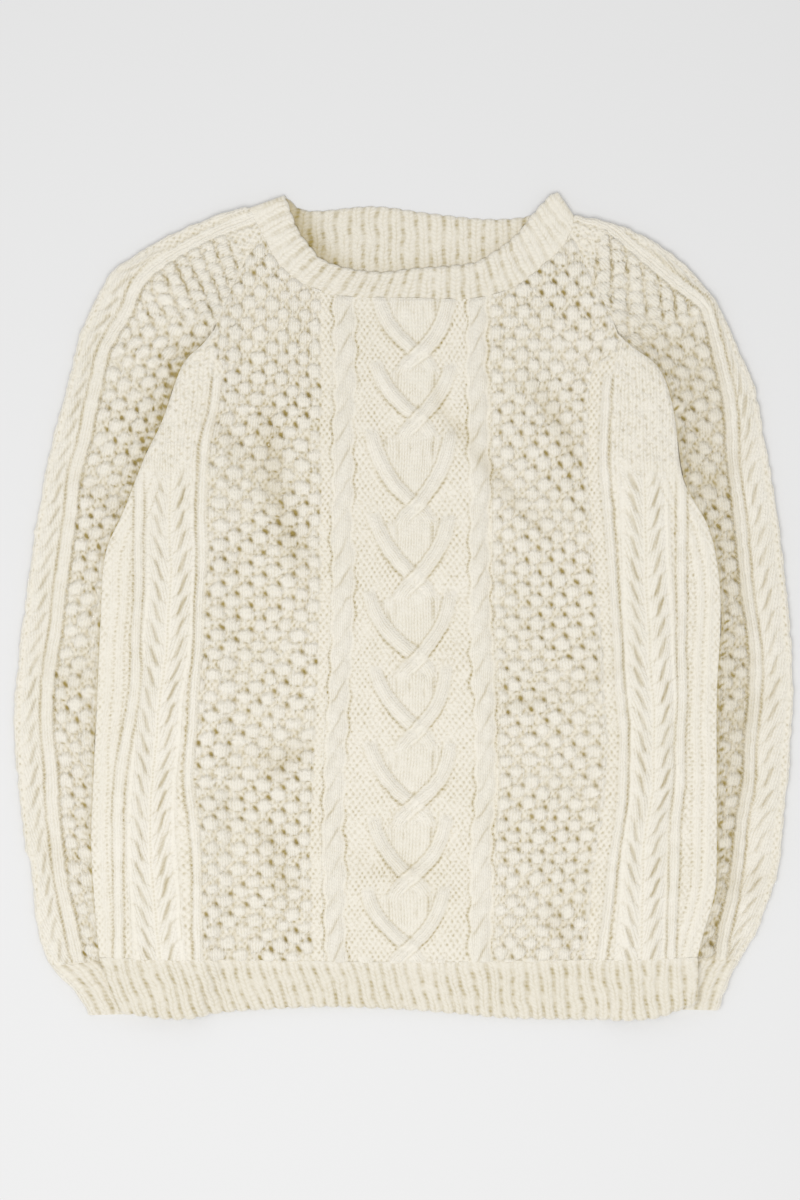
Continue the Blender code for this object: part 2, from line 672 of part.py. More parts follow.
def sleeve(name, fold_rows, seam_rows, raglan_rows, rib_rows, side_rows):
    """A sleeve folded along its outer edge: an upper and a lower layer, open at the hidden seam."""
    fold = upright(fold_rows)
    seam = upright(seam_rows)
    raglan = upright(raglan_rows, NECK_STEP)
    radius = STACK / 2
    neck_out = unit(fold[0] - raglan[0])
    cuff_out = unit(fold[-1] - seam[-1])
    along = np.gradient(fold, axis=0)
    across = np.array([[-dy, dx] for dx, dy in along / np.linalg.norm(along, axis=1)[:, None]])
    outward = across * np.sign((across * (fold - seam.mean(axis=0))).sum(axis=1))[:, None]
    outward[0], outward[-1] = neck_out, cuff_out
    turned = fold - outward * radius
    cuff_parts = round(np.linalg.norm(turned[-1] - seam[-1]) / EDGE_STEP)
    cuff = resample(np.vstack([turned[-1], seam[-1]]), cuff_parts)
    neck_seam = neck_line(NECK_FRONT_SEAM)
    end = -1 if raglan[0, 0] > 0 else 0
    neck = neck_stretch(neck_seam, *sorted((raglan[0, 0], neck_seam[end, 0])))
    neck = neck if end == -1 else neck[::-1]
    loop = np.vstack([turned[:-1], cuff[:-1], seam[::-1][:-1], raglan[::-1][:-1], neck[:-1]])
    folded = np.arange(len(loop)) < len(turned)
    outs = np.vstack([outward, np.zeros((len(loop) - len(turned), 2))])
    if seam[:, 0].mean() > 0:
        loop, folded, outs = loop[::-1], folded[::-1], outs[::-1]
    loop = inset(loop, SEAM / 2)
    relief, ties = sleeve_relief(fold, upright(rib_rows), upright(side_rows), raglan)
    rows = rise_rows(raglan)
    points = thinned(np.vstack([relief, rows]), loop, POINT_SPACING)
    top_flat, top_faces, top_ring = triangulate(loop, points, ties=ties)
    raised = heights_of(points, top_flat, SLEEVE_SKIN)
    raised[top_ring] = np.where(folded, 0.0, -SEAM_DROP)
    flat, faces, ring = triangulate(loop)
    inner_flat, inner_faces, inner_ring = triangulate(loop, thinned(rows, loop, POINT_SPACING))
    bm = bmesh.new()
    rings = {
        "bottom": add_surface(bm, flat, faces, ring, np.zeros(len(flat)), up=False),
        "lower": add_surface(bm, flat, faces, ring, np.full(len(flat), WALL), up=True),
        "upper": add_surface(bm, inner_flat, inner_faces, inner_ring,
                             WALL + GAP + rise(inner_flat, raglan), up=False),
        "top": add_surface(bm, top_flat, top_faces, top_ring,
                           STACK + rise(top_flat, raglan) + raised, up=True),
    }
    close_fold(bm, rings, loop, folded, outs)
    return finish_mesh(bm, name)


def rise(places, raglan):
    """How far a sleeve's upper layer rises near the raglan seam, to meet the lifted front."""
    x, y = places.T
    off_seam = np.abs(x - across_at(raglan, y))
    height, share = np.array(RAGLAN_RISE).T
    distance, fall = np.array(RAGLAN_FALL).T
    return LIFT * np.interp(y, from_height(height), share) * np.interp(off_seam, distance, fall)


def rise_rows(raglan):
    """Points on the lines along which that rise changes."""
    sign = 1.0 if raglan[:, 0].mean() > 0 else -1.0
    y = from_height(np.array([height for height, _ in RAGLAN_RISE], float))
    rows = [
        np.column_stack([across_at(raglan, y) + sign * distance, y, np.full(len(y), SLEEVE_SKIN)])
        for distance, _ in RAGLAN_FALL
    ]
    return np.vstack(rows)


def unit(vector):
    """The vector with length 1."""
    return vector / np.linalg.norm(vector)


def close_fold(bm, rings, loop, folded, outs):
    """Closes a folded piece: round its fold, inside the fold, and at the edges of both layers."""
    count = len(loop)
    arcs = {i: fold_arc(bm, loop[i], outs[i], 0.0, STACK) for i in range(count) if folded[i]}
    for i in range(count):
        j = (i + 1) % count
        if i in arcs and j in arcs:
            one = [rings["top"][i]] + arcs[i] + [rings["bottom"][i]]
            other = [rings["top"][j]] + arcs[j] + [rings["bottom"][j]]
            add_strip(bm, one, other, closed=False)
            bm.faces.new((rings["upper"][i], rings["upper"][j], rings["lower"][j], rings["lower"][i]))
        else:
            for low, high in (("bottom", "lower"), ("upper", "top")):
                bm.faces.new((rings[low][i], rings[low][j], rings[high][j], rings[high][i]))
            for end in {i, j} & set(arcs):
                rim = [rings["upper"][end], rings["top"][end]] + arcs[end]
                bm.faces.new(rim + [rings["bottom"][end], rings["lower"][end]])


def make_sleeves():
    """Both sleeves, each with its inner part under the body."""
    sleeve("sleeve_left", FOLD_LEFT, SEAM_LEFT, RAGLAN_LEFT, SLEEVE_RIB_LEFT, SIDE_LEFT)
    sleeve("sleeve_right", FOLD_RIGHT, SEAM_RIGHT, RAGLAN_RIGHT, SLEEVE_RIB_RIGHT, SIDE_RIGHT)


# ---- ribbed bands -------------------------------------------------------------------------------

ACROSS_BAND = (0.0, 0.15, 0.5, 0.88, 1.0)  # where a band has points, from its seam to its cast-off edge
BAND_SHARE = (0.25, 0.9, 1.0, 0.9, 0.3)  # share of the rib's height there


def band_columns(bm, seam, edge, outer_z, inner_z, rib_sign, first=0):
    """Columns of a ribbed band from its seam to its edge, a crest and a groove in turn.

    Gives for each column the vertices of its ribbed side and of its plain side.
    """
    made = []
    for number, (start, end) in enumerate(zip(seam, edge)):
        crest = (number + first) % 2 == 0
        ribbed = []
        for share, rise in zip(ACROSS_BAND, BAND_SHARE):
            x, y = start + (end - start) * share
            z = outer_z(x, y) + (rib_sign * WELT_RIB_HEIGHT * rise if crest == (rib_sign > 0) else 0.0)
            ribbed.append(bm.verts.new((x * MM, y * MM, z * MM)))
        plain = [bm.verts.new((x * MM, y * MM, inner_z(x, y) * MM)) for x, y in (start, end)]
        made.append((ribbed, plain))
    return made


def band_row(start, end):
    """The places of a band's points from its seam to its edge."""
    return [start + (end - start) * t for t in ACROSS_BAND]


def band_fold(bm, row, outs):
    """The columns that carry a band round a fold at that row, from the top layer down.

    outs are the ways out at the row's two ends.
    """
    arcs = []
    for t, place in zip(ACROSS_BAND, row):
        arcs.append(fold_arc(bm, place, unit(outs[0] * (1 - t) + outs[1] * t), 0.0, STACK))
    made = []
    for number, angle in enumerate(FOLD_ANGLES):
        tip = WALL + GAP * (1 - angle / 180)
        reach = SLOT_END * math.sin(math.radians(angle))
        inner = [row[0] + outs[0] * reach, row[-1] + outs[1] * reach]
        plain = [bm.verts.new((x * MM, y * MM, tip * MM)) for x, y in inner]
        made.append(([arc[number] for arc in arcs], plain))
    return made


def add_band(bm, made, closed):
    """Faces round a band: its ribbed side, its plain side, its two long edges and its ends."""
    following = made[1:] + made[:1] if closed else made[1:]
    for (ribbed, plain), (next_ribbed, next_plain) in zip(made, following):
        add_strip(bm, ribbed, next_ribbed, closed=False)
        add_strip(bm, plain, next_plain, closed=False)
        bm.faces.new((ribbed[0], next_ribbed[0], next_plain[0], plain[0]))
        bm.faces.new((ribbed[-1], next_ribbed[-1], next_plain[-1], plain[-1]))
    if not closed:
        for ribbed, plain in (made[0], made[-1]):
            bm.faces.new(ribbed + plain[::-1])


def hem_lines(count):
    """The hem's seam and its cast-off edge, in the same number of parts, clear of the panel above."""
    clear = np.array([0.0, SEAM / 2])
    seam = resample(level(HEM_SEAM, EDGE_STEP), count) - clear
    edge = resample(level(HEM_EDGE, EDGE_STEP), count)
    return seam, edge


def make_hems():
    """The ribbed hem of the front over that of the back."""
    count = 2 * round((HEM_SEAM[-1][0] - HEM_SEAM[0][0]) / WELT_RIB_PITCH)
    seam, edge = hem_lines(count)
    front = bmesh.new()

    def under(x, y):
        return lift(x, y) + WALL + GAP

    made = band_columns(front, seam, edge, lambda x, y: under(x, y) + WALL, under, 1)
    add_band(front, made, closed=False)
    finish_mesh(front, "hem_rib_front")
    back = bmesh.new()
    made = []
    for start, end in zip(seam, edge):
        sides = []
        for z in (WALL, 0.0):
            sides.append([back.verts.new((x * MM, y * MM, (lift(x, y) + z) * MM)) for x, y in (start, end)])
        made.append(sides)
    add_band(back, made, closed=False)
    finish_mesh(back, "hem_rib_back")


def cuff(name, fold_top, fold_bottom, bow, seam_rows):
    """A ribbed cuff folded along its outer edge, with its other end under the hem."""
    sign = math.copysign(1.0, fold_top[1])
    top_out = np.array([fold_top[1], from_height(fold_top[0])])
    low_out = np.array([fold_bottom[1], from_height(fold_bottom[0])])
    seam = np.array([(across, from_height(height)) for height, across in seam_rows], float)
    radius = STACK / 2
    outward_top = unit(top_out - seam[0])
    outward_low = unit(low_out - seam[1])
    top_line = np.vstack([seam[0], top_out - outward_top * radius])
    low_line = np.vstack([seam[1], low_out - outward_low * radius])
    top_line[:, 1] -= SEAM / 2
    count = 2 * round(np.linalg.norm(top_line[1] - top_line[0]) / WELT_RIB_PITCH)
    top_line, low_line = resample(top_line, count), resample(low_line, count)
    rows = []
    for number, (start, end) in enumerate(zip(top_line, low_line)):
        share = number / count
        bend = np.array([-sign * bow * share, 0.0])
        rows.append([start + (end - start) * t + bend * math.sin(math.pi * t) for t in ACROSS_BAND])
    bm = bmesh.new()
    made = []
    for number, row in enumerate(rows):
        crest = number % 2 == 0 and COVERED_SHARE * count < number < count
        raised = WELT_RIB_HEIGHT * CUFF_RIB_SHARE if crest else 0.0
        heights = [STACK + raised * share for share in BAND_SHARE]
        made.append(cuff_column(bm, row, heights, WALL + GAP))
    made += band_fold(bm, rows[-1], (outward_top, outward_low))
    for row in rows[::-1]:
        made.append(cuff_column(bm, row, [0.0] * len(row), WALL))
    add_band(bm, made, closed=False)
    return finish_mesh(bm, name)


def cuff_column(bm, row, heights, inner):
    """One column of a cuff's layer: its outer side at the given heights, its inner side plain."""
    outer = [bm.verts.new((x * MM, y * MM, z * MM)) for (x, y), z in zip(row, heights)]
    plain = [bm.verts.new((x * MM, y * MM, inner * MM)) for x, y in (row[0], row[-1])]
    return outer, plain


def make_cuffs():
    """Both cuffs."""
    cuff("cuff_left", FOLD_LEFT[-1], (5, -270), 5.0, CUFF_SEAM_LEFT)
    cuff("cuff_right", FOLD_RIGHT[-1], (9, 271), 2.0, CUFF_SEAM_RIGHT)


def make_neckband():
    """The neckband, a closed ribbed ring: its front, a fold, its back and a fold."""
    front_seam, back_seam = neck_line(NECK_FRONT_SEAM), neck_line(NECK_BACK_SEAM)
    front_edge, back_edge = neck_line(NECK_FRONT_EDGE, seam=False), neck_line(NECK_BACK_EDGE, seam=False)
    left = (unit(front_seam[0] - front_seam[1]), unit(front_edge[0] - front_edge[1]))
    right = (unit(front_seam[-1] - front_seam[-2]), unit(front_edge[-1] - front_edge[-2]))
    front_parts = 2 * round(length_of(front_edge) / WELT_RIB_PITCH)
    back_parts = 2 * round(length_of(back_edge) / WELT_RIB_PITCH)
    front = [resample(front_seam, front_parts), resample(front_edge, front_parts)]
    back = [resample(back_seam, back_parts), resample(back_edge, back_parts)]
    front[0] = clear_of_seam(front[0], front[1])
    back[0] = clear_of_seam(back[0], back[1])
    back[0][0], back[0][-1] = front[0][0], front[0][-1]
    bm = bmesh.new()
    top, slot = STACK, WALL + GAP
    made = band_columns(bm, front[0], front[1], lambda x, y: top, lambda x, y: slot, 1)
    made += band_fold(bm, band_row(front[0][-1], front[1][-1]), right)
    behind = []
    for number, (start, end) in enumerate(zip(back[0][::-1], back[1][::-1])):
        groove = number % 2 == 1
        flat = [bm.verts.new((x * MM, y * MM, 0.0)) for x, y in band_row(start, end)]
        shown = []
        for share, place in zip((0.4, 1.0), (start, end)):
            z = WALL - (share * INNER_GROOVE_SHARE * WELT_RIB_HEIGHT if groove else 0.0)
            shown.append(bm.verts.new((place[0] * MM, place[1] * MM, z * MM)))
        behind.append((flat, shown))
    made += behind
    made += band_fold(bm, band_row(front[0][0], front[1][0]), left)[::-1]
    add_band(bm, made, closed=True)
    finish_mesh(bm, "neckband")


def clear_of_seam(seam, edge):
    """The band's seam edge moved off the seam, towards its cast-off edge."""
    across = edge - seam
    return seam + across / np.linalg.norm(across, axis=1)[:, None] * SEAM


# ---- the garment --------------------------------------------------------------------------------

def main():
    """Clears the scene and makes the nine pieces."""
    for thing in list(bpy.data.objects):
        bpy.data.objects.remove(thing, do_unlink=True)
    make_body()
    make_sleeves()
    make_cuffs()
    make_hems()
    make_neckband()


main()
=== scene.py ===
"""A hand-knitted Aran pullover, laid flat on a pale floor.

The pieces are dense knitted surfaces over the rigid frame. Lengths in the tables and functions are
millimetres. A height is measured up from the lowest point of the hem, and across is measured from
the garment's middle line, positive to the right as seen from above. In the model's own frame +Y
runs towards the neck and +Z is up.
"""

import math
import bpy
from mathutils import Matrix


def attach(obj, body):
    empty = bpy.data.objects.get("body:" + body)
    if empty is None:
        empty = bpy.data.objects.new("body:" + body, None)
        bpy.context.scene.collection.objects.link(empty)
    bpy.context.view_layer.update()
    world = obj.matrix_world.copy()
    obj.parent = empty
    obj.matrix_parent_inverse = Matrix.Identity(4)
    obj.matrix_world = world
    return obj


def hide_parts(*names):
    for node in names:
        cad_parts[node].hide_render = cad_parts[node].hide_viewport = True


bl_info = {
    "name": "Aran Pullover",
    "version": (1, 0, 0),
    "blender": (4, 5, 0),
    "location": "3D View > Sidebar > Pullover",
    "description": "Knits a cable pullover laid flat, piece by piece, and lights it",
    "category": "Mesh",
}

import bmesh
import bpy
import numpy as np
from bpy.props import FloatProperty, FloatVectorProperty, PointerProperty

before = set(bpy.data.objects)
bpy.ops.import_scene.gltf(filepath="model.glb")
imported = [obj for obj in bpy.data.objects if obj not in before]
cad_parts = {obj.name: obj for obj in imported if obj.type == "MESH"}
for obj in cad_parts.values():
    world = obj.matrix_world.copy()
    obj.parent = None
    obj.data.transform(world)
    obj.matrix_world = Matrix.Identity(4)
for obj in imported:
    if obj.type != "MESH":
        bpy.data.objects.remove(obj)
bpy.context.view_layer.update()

# ---- the garment's sizes ------------------------------------------------------------------------

MM = 0.001
LENGTH = 715.0  # the laid garment, hem to the top of the neckband
WALL = 3.0  # plain knitted cloth
GAP = 0.3  # between two layers
STACK = 2 * WALL + GAP  # a piece folded flat
BACK_WALL = WALL - 0.9  # under the ribs inside the back of the neck
INSIDE_RELIEF = 1.15  # of the ribs inside the back of the neck
COVERED_RELIEF = 1.7  # how far the stitches of a covered sleeve stand out at most
LIFT = STACK + 2.0 + GAP  # how far the body is raised by the sleeve under it
FOLD_SQUARE = 0.75  # the power that makes a fold's section squarer than round
FOLD_REST = 1.2  # a fold is widest at this height, because the cloth rests on the floor
SIDE_ROLL = 1.5  # how far the body's free sides round down
SEAM_ROLL = 0.2  # how far an edge that is sewn to another piece rounds down
CAST_OFF_ROLL = 2.4  # how far the last row of a rib rounds down
MEETING = 7.4  # how far a sleeve puffs up where it meets the body's side

BOBBLE_SPACING = 22.4
BOBBLE_ROW = 9.2
BOBBLE_HALF = (6.6, 5.8)  # half a bobble's width and height
KNOT_HALF = (2.2, 2.9)  # the same of the knots between them
BOBBLE_CELLS = 8.5  # half spacings between a rope and the rib beside it
COLUMN_SPACING = 13.3  # of the bobbles that stand in columns on the shoulders
COLUMN_ROW = 10.0
COLUMN_HALF = (6.2, 5.4)  # half the width and height of one of these
ROPE_WIDTH = 19.0
ROPE_PITCH = 25.0
WHEAT_HALF_WIDTH = 24.0
LEAF_HALF_WIDTH = 9.8  # of a column of its leaves
WHEAT_PITCH = 18.6
DIAMOND_STRAND = 13.0
DIAMOND_SPREAD = (42.0, 29.0)  # of the middle cable's left and right strands
DIAMOND_LEAN = (1.15, 0.95)  # how far they lean out just above a crossing
DIAMOND_SHOWN = 0.95  # how far up from a crossing they show, as a share of the way to the next
BELL_HALF_WIDTH = 15.5  # of the smooth stitches above a crossing's shoulders
BELL_DEPTH = 13.0  # how far below a crossing they reach that width
RIB_WIDTH = 7.4
SLEEVE_RIB_WIDTH = 10.0
WELT_RIB_PITCH = 11.5
WELT_CREST = 0.42  # half the width of a rib's rounded end, as a share of the pitch

# heights at which the knitting changes
FRONT_BOBBLES_FROM, SLEEVE_BOBBLES_FROM = 58.0, 60.0
WHEAT_TOP = 482.0  # the wheat panels are plain above
RIBS_TOP = 560.0  # the ribs beside them stop, and the bobbles spread out to the raglan
UNDERARM = 586.0  # the body's sides are free below
COVERED_TOP = 594.0  # the body lies over the sleeves below
COLUMNS_FROM = 596.0  # the sleeves' bobbles stand in columns above
SHADED_TOP = 622.0  # the right sleeve has a little painted shade below
LEAVES_TOP = 672.0  # the leaves along the sleeves' folds end

RENDER_HEIGHT = 1200
PIXEL = 0.86 * MM  # how much of the garment one pixel of the render shows
MIDDLE_ACROSS = -3.0 * MM  # what the camera looks at
MIDDLE_ALONG = 4.7 * MM
MIDDLE_DEPTH = 8.0 * MM
# metres
FLOOR_HALF = 6.0
FLOOR_DROP = 0.0002  # how far the floor lies below the garment
SOFTBOX_SIZE = (1.8, 1.4)
SOFTBOX_PLACE = (-0.25, -0.55, 2.1)

FINE = 1.13  # distance between the points of a surface that shows
FRONT_STEP, SLEEVE_STEP = 1.04 * FINE, 1.08 * FINE  # the same up the garment
STEADY_STEP = 0.7  # stitches between two points; where there are more, the count has jumped
ROUNDED_AT = (0.25, 0.8, 1.6)  # further points beside a rounded edge
TUCK = 0.9  # how far one piece reaches under the next at a seam, so that the seam is closed
# points across a folded piece: covered, shown and round the fold
SLEEVE_POINTS = (7, 78, 6)
CUFF_POINTS = (8, 66, 6)

# ---- edges, each a smooth line through its rows -------------------------------------------------

SIGNS = {"left": -1, "right": 1}  # which way each side lies across

# height, across
RAGLAN = {
    "left": ((679, -122), (646, -141), (611, -156), (594, -162)),
    "right": ((679, 144), (654, 156), (620, 172), (590, 184)),
}
SIDE = {
    "left": (
        (594, -162), (581, -173), (563, -190), (516, -207), (485, -222), (439, -240), (401, -256),
        (345, -260), (276, -263), (190, -267), (147, -268), (87, -264), (55, -261),
    ),
    "right": (
        (590, 184), (577, 200), (565, 216), (547, 226), (517, 233), (466, 240), (424, 262),
        (380, 271), (336, 272), (276, 269), (147, 269), (110, 267), (78, 258), (55, 252),
    ),
}
FOLD = {
    "left": (
        (700, -133), (694, -156), (685, -180), (673, -207), (661, -228), (644, -251), (617, -266),
        (587, -279), (538, -291), (491, -304), (438, -314), (398, -320), (347, -327), (282, -334),
        (242, -335), (212, -332), (153, -326), (130, -320), (95, -317), (67, -312), (47, -304),
    ),
    "right": (
        (693, 147), (685, 184), (670, 216), (648, 245), (630, 260), (605, 276), (575, 289),
        (545, 302), (497, 311), (479, 315), (402, 326), (345, 332), (292, 335), (255, 334),
        (211, 331), (164, 326), (127, 322), (87, 308), (71, 301), (51, 288),
    ),
}
SLEEVE_SEAM = {
    "left": (
        (594, -162), (551, -161), (491, -163), (362, -165), (233, -166), (121, -172), (61, -175),
    ),
    "right": ((590, 184), (491, 182), (362, 179), (233, 179), (121, 182), (61, 188)),
}
CUFF_SEAM = {"left": ((61, -175), (7, -186)), "right": ((61, 188), (11, 193))}
CUFF_FOLD = {"left": ((47, -304), (5, -270)), "right": ((51, 288), (9, 271))}
CUFF_BOW = {"left": 5.0, "right": 2.0}  # how far a cuff's fold bends inwards

# across, height
HEM_SEAM = ((-261, 55), (-190, 53), (-90, 51), (0, 50), (100, 51), (190, 53), (252, 55))
HEM_EDGE = (
    (-243, 7), (-205, 2), (-183, 2), (-149, 7), (-72, 11), (-3, 9), (49, 5), (100, 1), (203, 1),
    (238, 10), (252, 15),
)
NECK_FRONT_SEAM = (
    (-133, 700), (-122, 679), (-109, 653), (-89, 636), (-70, 628), (-47, 623), (10, 622), (49, 621),
    (74, 624), (96, 632), (117, 648), (135, 664), (144, 679), (147, 693),
)
NECK_FRONT_EDGE = (
    (-102, 711), (-96, 695), (-90, 680), (-80, 667), (-70, 656), (-47, 648), (-18, 645), (9, 648),
    (37, 650), (60, 653), (76, 661), (97, 677), (112, 696), (125, 710), (132, 715),
)
NECK_BACK_SEAM = (
    (-133, 700), (-122, 679), (-106, 671), (-89, 668), (-46, 669), (10, 667), (74, 662), (109, 665),
    (131, 672), (144, 679), (147, 693),
)
NECK_BACK_EDGE = (
    (-102, 711), (-89, 700), (-72, 698), (-25, 702), (23, 696), (74, 691), (109, 694), (122, 703),
    (132, 715),
)

# The body slopes down between these distances inward of a sleeve's seam, and towards the shoulders.
SLOPE_FROM, SLOPE_TO = 3.0, 27.0
SHOULDER_FROM, SHOULDER_TO = 598.0, 650.0
# A sleeve's upper layer rises beside the raglan seam to meet the front: height or distance from the
# seam, share of the front's lift there.
RAGLAN_RISE = ((590, 0.0), (596, 0.55), (603, 1.0), (650, 1.0))
RAGLAN_FALL = ((0, 1.0), (8, 0.85), (22, 0.35), (40, 0.0))

# ---- columns of stitches ------------------------------------------------------------------------

COLUMN_NAMES = (
    "outer_rib_left", "wheat_left", "inner_rib_left", "rope_left", "middle",
    "rope_right", "inner_rib_right", "wheat_right", "outer_rib_right",
)
# height, then where each of those columns runs across
FRONT_COLUMNS = (
    (625, -226, -200, -155, -51, 13, 64, 183, 205, 240),
    (594, -226, -200, -157, -51, 13, 64, 181, 205, 240),
    (534, -226, -200, -161, -51, 13, 64, 174, 205, 240),
    (482, -227, -200, -171, -52, 12, 65, 173, 205, 240),
    (362, -228, -200, -174, -52, 11, 66, 181, 209, 238),
    (276, -232, -209, -179, -56, 12, 69, 187, 213, 239),
    (211, -243, -215, -184, -59, 11, 71, 188, 215, 237),
    (147, -245, -216, -179, -60, 8, 68, 180, 207, 232),
    (45, -243, -208, -176, -58, 4, 66, 170, 203, 229),
)
# The ground left without bobbles beside each rope and beside each inner rib.
BARE = {"left": (18.5, 3.5), "right": (10.5, 14.0)}
# Distances of the soft ribs from the body's sides.
SIDE_RIBS = (9.0, 18.0)
# Heights at which the two strands of the middle cable cross.
DIAMOND_CROSSINGS = (3, 63, 123, 184, 250, 313, 380, 445, 518, 574, 640, 700)
# Folds between its arms, with shade painted in them: across, distance below a crossing, how much
# shade.
DIAMOND_FOLDS = ((-28, 20, 0.4), (-23, 31, 0.4), (-8, 24, 0.22), (5, 30, 0.25), (25, 22, 0.2))

# The double rib along each sleeve: height, across.
SLEEVE_RIB = {
    "left": (
        (690, -136), (679, -162), (663, -192), (639, -224), (613, -237), (591, -251), (574, -259),
        (541, -266), (500, -275), (458, -284), (391, -292), (315, -302), (273, -307), (211, -304),
        (167, -300), (122, -295), (60, -281), (44, -277),
    ),
    "right": (
        (690, 160), (685, 175), (660, 203), (639, 230), (620, 255), (609, 263), (571, 271),
        (532, 281), (488, 284), (435, 289), (380, 295), (315, 302), (276, 302), (190, 294),
        (121, 284), (60, 274), (44, 270),
    ),
}

# How much shade is painted on each sleeve where the body lies beside it: height, share.
SHADE = {
    "left": ((60, 0.2), (380, 0.3), (490, 0.75), (560, 1.0), (620, 0.5)),
    "right": ((60, 0.8), (250, 0.8), (420, 0.9), (560, 0.9), (620, 0.5)),
}
SHADE_WIDTH = {"left": 20, "right": 30}
SHADE_TINT = {"left": 0.2, "right": 0.11}  # how much painted shade it adds everywhere
SHADE_GAIN = {"left": 0.3, "right": 0.0}  # how much it deepens the painted shade in the hollows
SLEEVE_EVEN_SHADE = {"left": 0.0, "right": 0.4}  # painted shade over the sleeve's inner part, with less in the holes
COLUMN_LEAN = {"left": 0.42, "right": 0.05}  # of the bobbles in columns
SEAM_HOLE_WIDTH = {"left": 3.4, "right": 2.0}  # of the row of holes beside the body

# ---- creases, where the cloth has settled into soft troughs -------------------------------------

# across and height of places along each trough, its half width, its depth and how much shade is
# painted into it
FRONT_CREASES = (
    (((-122, 560), (-121, 531), (-104, 440), (-80, 365)), 11, 2.4, 0.22),
    (((-190, 551), (-140, 490), (-98, 436)), 8, 1.6, 0.10),
    (((-121, 250), (-112, 215), (-75, 254)), 10, 1.8, 0.16),
    (((-128, 180), (-105, 130), (-98, 90)), 9, 1.5, 0.12),
    (((36, 527), (70, 480), (104, 438), (139, 408)), 6, 2.2, 0.20),
    (((96, 568), (130, 520), (156, 463)), 8, 2.0, 0.17),
    (((22, 556), (38, 520), (60, 497)), 6, 1.8, 0.12),
    (((45, 262), (130, 282), (217, 317)), 6, 1.3, 0.08),
    (((120, 108), (148, 56)), 8, 1.4, 0.12),
    (((-60, 150), (-20, 128), (40, 138)), 9, 1.0, 0.05),
)
SLEEVE_CREASES = {
    "left": (
        (((-292, 480), (-258, 452), (-236, 436)), 8, 1.6, 0.08),
        (((-322, 330), (-296, 300), (-262, 296)), 9, 1.4, 0.06),
        (((-318, 170), (-290, 140), (-266, 150)), 8, 1.4, 0.06),
    ),
    "right": (
        (((300, 500), (276, 470), (250, 452)), 8, 1.6, 0.10),
        (((325, 300), (300, 262), (272, 250)), 9, 1.4, 0.08),
        (((318, 140), (296, 118), (268, 122)), 8, 1.4, 0.08),
    ),
}
# the same under the back, without shade
BACK_CREASES = (
    (((-150, 420), (-60, 360), (20, 380)), 12, 1.2),
    (((60, 260), (140, 200), (170, 120)), 11, 1.2),
    (((-120, 180), (-40, 140), (10, 80)), 11, 1.2),
)


# ---- settings -----------------------------------------------------------------------------------

def amount(name, description, default, **limits):
    """A number that can't be negative."""
    limits = {"min": 0.0, **limits}
    return FloatProperty(name=name, description=description, default=default, **limits)


def length(name, description, default):
    """A length in metres that the sidebar shows in the scene's units."""
    return amount(name, description, default, unit="LENGTH")


def colour(name, description, hex_code):
    """A colour given as sRGB hex."""
    return FloatVectorProperty(
        name=name, description=description, default=linear(hex_code), size=4, subtype="COLOR",
        min=0.0, max=1.0,
    )


def linear(hex_code):
    """An sRGB hex colour as linear red, green, blue and alpha."""
    parts = [int(hex_code[i:i + 2], 16) / 255 for i in (1, 3, 5)]
    return (*[c / 12.92 if c <= 0.04045 else ((c + 0.055) / 1.055) ** 2.4 for c in parts], 1.0)


class PulloverKnit(bpy.types.PropertyGroup):
    """How large the stitches and the raised forms are."""

    stitch: length("Stitch width", "Width of one stitch", 0.0050)
    row: length("Row height", "Height of one row of stitches", 0.0036)
    bobble: length("Bobble height", "How far a bobble stands out", 0.0040)
    cable: length("Cable height", "How far a cable's strands stand out", 0.0036)
    rib: length("Rib height", "How far the twisted ribs stand out", 0.0024)
    welt: length("Welt height", "How far the ribs of hem, cuffs and neckband stand out", 0.0012)
    purl: length("Purl bump", "How far the small bumps of the ground stand out", 0.0007)


class PulloverWool(bpy.types.PropertyGroup):
    """The wool's colours, including the shade colour painted into hollows, and its finish."""

    light: colour("Wool", "Undyed wool where light reaches it", "#F1ECE1")
    shade: colour("Wool variation", "The same wool where it is a little darker", "#EAE5D7")
    # painted shade: the colour that places in shade are darkened towards, deep between stitches, in
    # creases and beside the body
    painted_shade: colour("Hollows", "The wool deep between the stitches", "#A18E52")
    roughness: amount("Roughness", "How dull the wool is", 0.92, max=1.0)
    sheen: amount("Sheen", "The soft glow of loose fibres", 0.6, max=1.0)


class PulloverStage(bpy.types.PropertyGroup):
    """Camera, floor and lights."""

    floor: colour("Floor", "The pale paper that the garment lies on", "#E3E3E3")
    lens: amount("Lens", "Focal length in millimetres", 80.0, min=10.0)
    key: amount("Key light", "Power of the large soft light", 24.0, unit="POWER")
    fill: amount("Fill light", "Strength of the light from all round", 0.68)


def knit_size(name):
    """One of the sizes in the settings, in millimetres."""
    return getattr(bpy.context.scene.pullover_knit, name) / MM


# ---- lines --------------------------------------------------------------------------------------

def smooth_line(points, step):
    """A Catmull-Rom line through the points, with a point about every step."""
    knots = np.array(points, float)
    knots = np.vstack([2 * knots[0] - knots[1], knots, 2 * knots[-1] - knots[-2]])
    stretches = []
    for a, b, c, d in zip(knots, knots[1:], knots[2:], knots[3:]):
        t = np.linspace(0, 1, 12, endpoint=False)[:, None]
        cubic = 3 * b - a - 3 * c + d
        square = 2 * a - 5 * b + 4 * c - d
        stretches.append(b + 0.5 * ((c - a) * t + square * t**2 + cubic * t**3))
    dense = np.vstack(stretches + [knots[-2:-1]])
    return at_shares(dense, np.linspace(0, 1, max(1, round(length_of(dense) / step)) + 1))


def length_of(line):
    """How long a line is."""
    return float(np.linalg.norm(np.diff(line, axis=0), axis=1).sum())


def at_shares(line, shares):
    """Places at those shares of a line's length."""
    along = np.concatenate([[0], np.cumsum(np.linalg.norm(np.diff(line, axis=0), axis=1))])
    wanted = np.asarray(shares) * along[-1]
    return np.column_stack([np.interp(wanted, along, places) for places in line.T])


